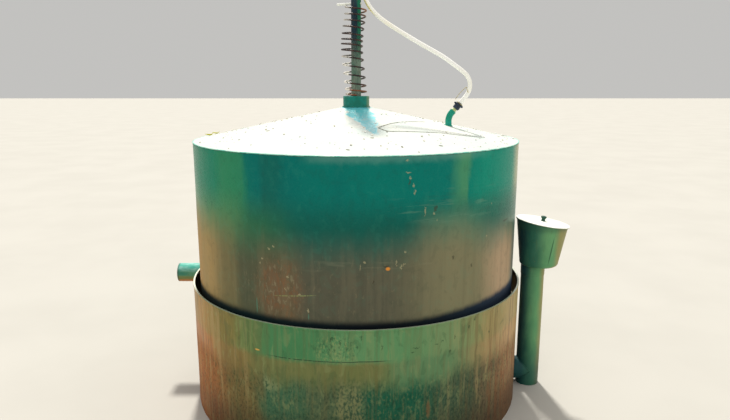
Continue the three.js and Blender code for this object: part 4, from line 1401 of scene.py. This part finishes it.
def on_cone(count, back_share, low=0.075, high=0.690):
    """Places on the cone: distance by the root of an even draw, angle even or drawn to the back."""
    share = dice.uniform(0, 1, count)
    r = np.sqrt(low**2 + share * (high**2 - low**2))
    even = dice.uniform(-np.pi, np.pi, count)
    rear = dice.normal(np.pi / 2, 0.7, count)
    angle = np.where(dice.uniform(0, 1, count) < back_share, rear, even)
    return r, angle


def copies(shape, faces, size, r, angle, turn, lean, lift):
    """Each copy: the shape times its size, turned about Z, leaned, laid on the cone's slope, lifted."""
    s, t, k = size[:, None], turn[:, None], lean[:, None]
    x = shape[None, :, 0] * s * np.cos(t) - shape[None, :, 1] * s * np.sin(t)
    y = shape[None, :, 0] * s * np.sin(t) + shape[None, :, 1] * s * np.cos(t)
    z = shape[None, :, 2] * s + x * np.sin(k)
    out = r[:, None] + x
    radius = np.hypot(out, y)
    around = angle[:, None] + np.arctan2(y, out)
    radius = np.minimum(radius, DRUM_RADIUS - 0.001)
    height = cone_height(radius) + z + lift[:, None]
    points = np.stack([radius * np.cos(around), radius * np.sin(around), height], -1)
    starts = np.arange(len(size))[:, None, None] * len(shape)
    return points.reshape(-1, 3), (faces[None] + starts).reshape(-1, faces.shape[1])


def leaf():
    """A sheet (u, v): x = u, y = v w(u), z = a curl of u and v, with w a half wave; then its underside."""
    u = np.linspace(-1, 1, 7)[:, None]
    v = np.linspace(-1, 1, 5)[None, :]
    width = 0.42 * np.cos(u * np.pi / 2.05) ** 0.8
    z = 0.22 * u**2 + 0.30 * (v * width) ** 2 * 2 + 0.05 * np.sin(3 * u)
    top = np.stack([u + 0 * v, v * width, z + 0.03], -1).reshape(-1, 3)
    under = top - np.array([0, 0, 0.03])
    sheet = grid_faces(7, 5, False, False)
    edge = np.concatenate([np.arange(4), np.arange(4, 34, 5), np.arange(34, 30, -1), np.arange(30, 0, -5)])
    sides = np.stack([edge, np.roll(edge, -1), np.roll(edge, -1) + 35, edge + 35], -1)
    return facing_out(np.vstack([top, under]), np.vstack([sheet[:, ::-1], sheet + 35, sides]))


def crumb():
    """A grain: a coarse ball whose rings are squeezed to different radii."""
    outline = np.array([(0, -0.5), (0.62, -0.28), (0.80, 0.12), (0.35, 0.50), (0, 0.55)])
    return turned(outline, 5, closed=False)


def scatter(name, maker, count, back_share, smallest, largest, tints, lift_share):
    shape, faces = maker()
    r, angle = on_cone(count, back_share)
    size = smallest * (largest / smallest) ** dice.uniform(0, 1, count) ** 1.6
    turn, lean = dice.uniform(0, 2 * np.pi, count), dice.normal(0, 0.18, count)
    points, quads = copies(shape, faces, size, r, angle, turn, lean, size * lift_share)
    tint = np.repeat(dice.choice(tints, count), len(shape))
    return piece(name, (points, quads), "gas_holder", litter_dry, marks={"tint": tint})


scatter("fallen_leaves", leaf, 460, 1.0, 0.005, 0.016, [0.0, 0.1, 0.2, 0.3, 0.4, 0.52], 0.12)
scatter("crumbs", crumb, 2600, 0.80, 0.0012, 0.0068, [0.0, 0.0, 0.0, 0.1, 0.2, 0.36], 0.35)

# %% Dark bits on the near side
BIT_PIXELS = [(239, 140), (300, 137), (305, 137), (317, 148), (348, 150), (282, 126), (273, 124), (402, 147),
              (387, 132), (387, 136), (372, 138), (398, 150), (501, 142), (507, 144), (489, 149), (215, 143),
              (268, 131), (330, 143), (441, 146)]
BETWEEN_BITS = (0.586, -0.316)


def seen_on_cone(pixels):
    """Places (x, y) on the cone, to the millimetre, that the camera sees at pixels of its frame. A line
    of sight, the camera plus t times the direction s, meets the cone where (tip - t s_z)^2 is the
    slope^2 times the squared distance from the axis: a t^2 - 2 b t + c = 0."""
    tilt, focus = math.radians(90 - CAMERA_TILT), CAMERA_LENS / SENSOR_WIDTH * FRAME_WIDTH
    across, down = (np.array(pixels, float) - (FRAME_WIDTH / 2, FRAME_HEIGHT / 2)).T / focus
    sight = np.stack([across, np.cos(tilt) - np.sin(tilt) * down, -np.sin(tilt) - np.cos(tilt) * down])
    x, y, z = CAMERA_PLACE
    tip = cone_height(0) - z
    a = sight[2] ** 2 - CONE_SLOPE**2 * (sight[0] ** 2 + sight[1] ** 2)
    b = tip * sight[2] + CONE_SLOPE**2 * (x * sight[0] + y * sight[1])
    c = tip**2 - CONE_SLOPE**2 * (x**2 + y**2)
    t = (b + np.sqrt(b**2 - a * c)) / a
    return np.round(np.stack([x + t * sight[0], y + t * sight[1]], 1), 3)


seen = seen_on_cone(BIT_PIXELS)
near = np.vstack([seen[:13], BETWEEN_BITS, seen[13:]])
shape, faces = crumb()
size = 0.0034 * (1 + 0.6 * dice.uniform(-1, 1, len(near)))
points, quads = copies(shape * np.array([2.0, 0.9, 0.6]), faces, size, np.hypot(near[:, 0], near[:, 1]),
                       np.arctan2(near[:, 1], near[:, 0]), dice.uniform(0, 2 * np.pi, len(near)),
                       np.zeros(len(near)), size * 0.2)
piece("near_bits", (points, quads), "gas_holder", litter_dry,
      marks={"tint": np.repeat(dice.choice([0.5, 0.62, 0.74], len(near)), len(shape))})

# %% Yellow leaf at the left edge
shape, faces = leaf()
halves, distances = np.array([0.019, 0.016]), np.array([0.640, 0.618])
around, turns = np.radians([184.5, 181.0]), np.array([0.2, 0.05])
points, quads = copies(shape * np.array([1, 1, 2.5]), faces, halves, distances, around, turns, np.zeros(2),
                       np.full(2, 0.003))
piece("yellow_leaf", (points, quads), "gas_holder", litter_dry,
      marks={"tint": np.full(len(points), 1.0)})

# %% Twigs
def on_slope(places, lift):
    """Points (x, y) lifted to the cone's surface."""
    p = np.asarray(places, float)
    return np.column_stack([p, cone_height(np.hypot(p[:, 0], p[:, 1])) + lift])


TWIG_LINES = [
    [(0.090, -0.366), (0.125, -0.400), (0.171, -0.390), (0.233, -0.374), (0.329, -0.340), (0.389, -0.330),
     (0.473, -0.299), (0.507, -0.287)],
    [(0.090, -0.360), (0.137, -0.292), (0.200, -0.229), (0.289, -0.152)],
    [(-0.420, 0.300), (-0.360, 0.335), (-0.290, 0.345), (-0.210, 0.380)],
    [(0.180, 0.470), (0.255, 0.440), (0.330, 0.430)],
    [(-0.150, 0.560), (-0.235, 0.520), (-0.300, 0.470), (-0.330, 0.400)],
]
twigs = []
for line in TWIG_LINES:
    path = smooth(on_slope(line, 0.0016), 12)
    taper = np.linspace(0.0013, 0.0006, len(path)) * (1 + 0.5 * (np.arange(len(path)) % 12 == 6))
    twigs.append(carried(path, taper, 6, Z))
twig_points, twig_faces = together(*twigs)
piece("twigs", (twig_points, twig_faces), "gas_holder", litter_dry,
      marks={"tint": np.full(len(twig_points), 0.56)})

# %% [markdown]
# A few solids of the model are right as they are and show only from below or inside: the tank's
# floor, the foot of the guide pipe, the braces and the sleeve's foot plate. They keep their shape
# and get the finish of their neighbours.

# %% Finishes of the solids that stay
def coat(node, finish):
    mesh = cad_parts[node].data
    mesh.materials.clear()
    mesh.materials.append(finish)


coat("tank_floor", tank_enamel)
coat("guide_foot", guide_enamel)
for name in ["sleeve_foot"] + [f"drum_brace_{k}" for k in range(1, 5)]:
    coat(name, collar_enamel)
print("seven solids keep their shape")

# %% [markdown]
# The scene is a plain pale floor and soft light. As in the photograph, the sun stands high behind
# and a little to the left, so the cone and the lid glow while the front stays in soft shade, lit by
# the sky and the bright floor.

# %% Floor
floor_finish, start, shader = new_finish("floor_pale", Specular_IOR_Level=0.1, Roughness=0.9)
dusty = clouds(object_place(start), 1.3, 3.0)
feed(shader, Base_Color=tones(dusty, 0.3, 0.7, "b6b3ac", "bab7b0"))
floor_mesh = bpy.data.meshes.new("floor")
floor_mesh.from_pydata([(-60, -60, 0), (60, -60, 0), (60, 60, 0), (-60, 60, 0)], [], [(0, 1, 2, 3)])
floor_mesh.materials.append(floor_finish)
put_in_scene("floor", floor_mesh)

# %% Sun and sky
SUN_FROM = (-0.136, 0.991, 1.38)
SUN_POWER = 4.0
SKY_HORIZON, SKY_TOP, SKY_FRONT = 0.60, 1.05, 1.15

sun_data = bpy.data.lights.new("sun", "SUN")
sun_data.energy = SUN_POWER
sun_data.angle = math.radians(5)
sun_data.color = (1.0, 0.97, 0.90)
sun = put_in_scene("sun", sun_data)
sun.rotation_euler = Vector(SUN_FROM).to_track_quat("Z", "Y").to_euler()

sky = bpy.data.worlds.new("sky")
bpy.context.scene.world = sky
sky.use_nodes = True
start = Wire(sky.node_tree)
direction = start.node("ShaderNodeTexCoord", out="Generated")
x, y, z = parted(direction)
rear = SKY_HORIZON + z.to(0.15, 0.9) * (SKY_TOP - SKY_HORIZON)
brightness = rear * (1 - y.to(0.2, -0.6) * (1 - SKY_FRONT))
background = sky.node_tree.nodes["Background"]
background.inputs["Color"].default_value = paint("f4f3f0")
sky.node_tree.links.new(brightness.socket, background.inputs["Strength"])
bpy.context.scene.view_settings.view_transform = "Standard"
print("sun and sky ready")
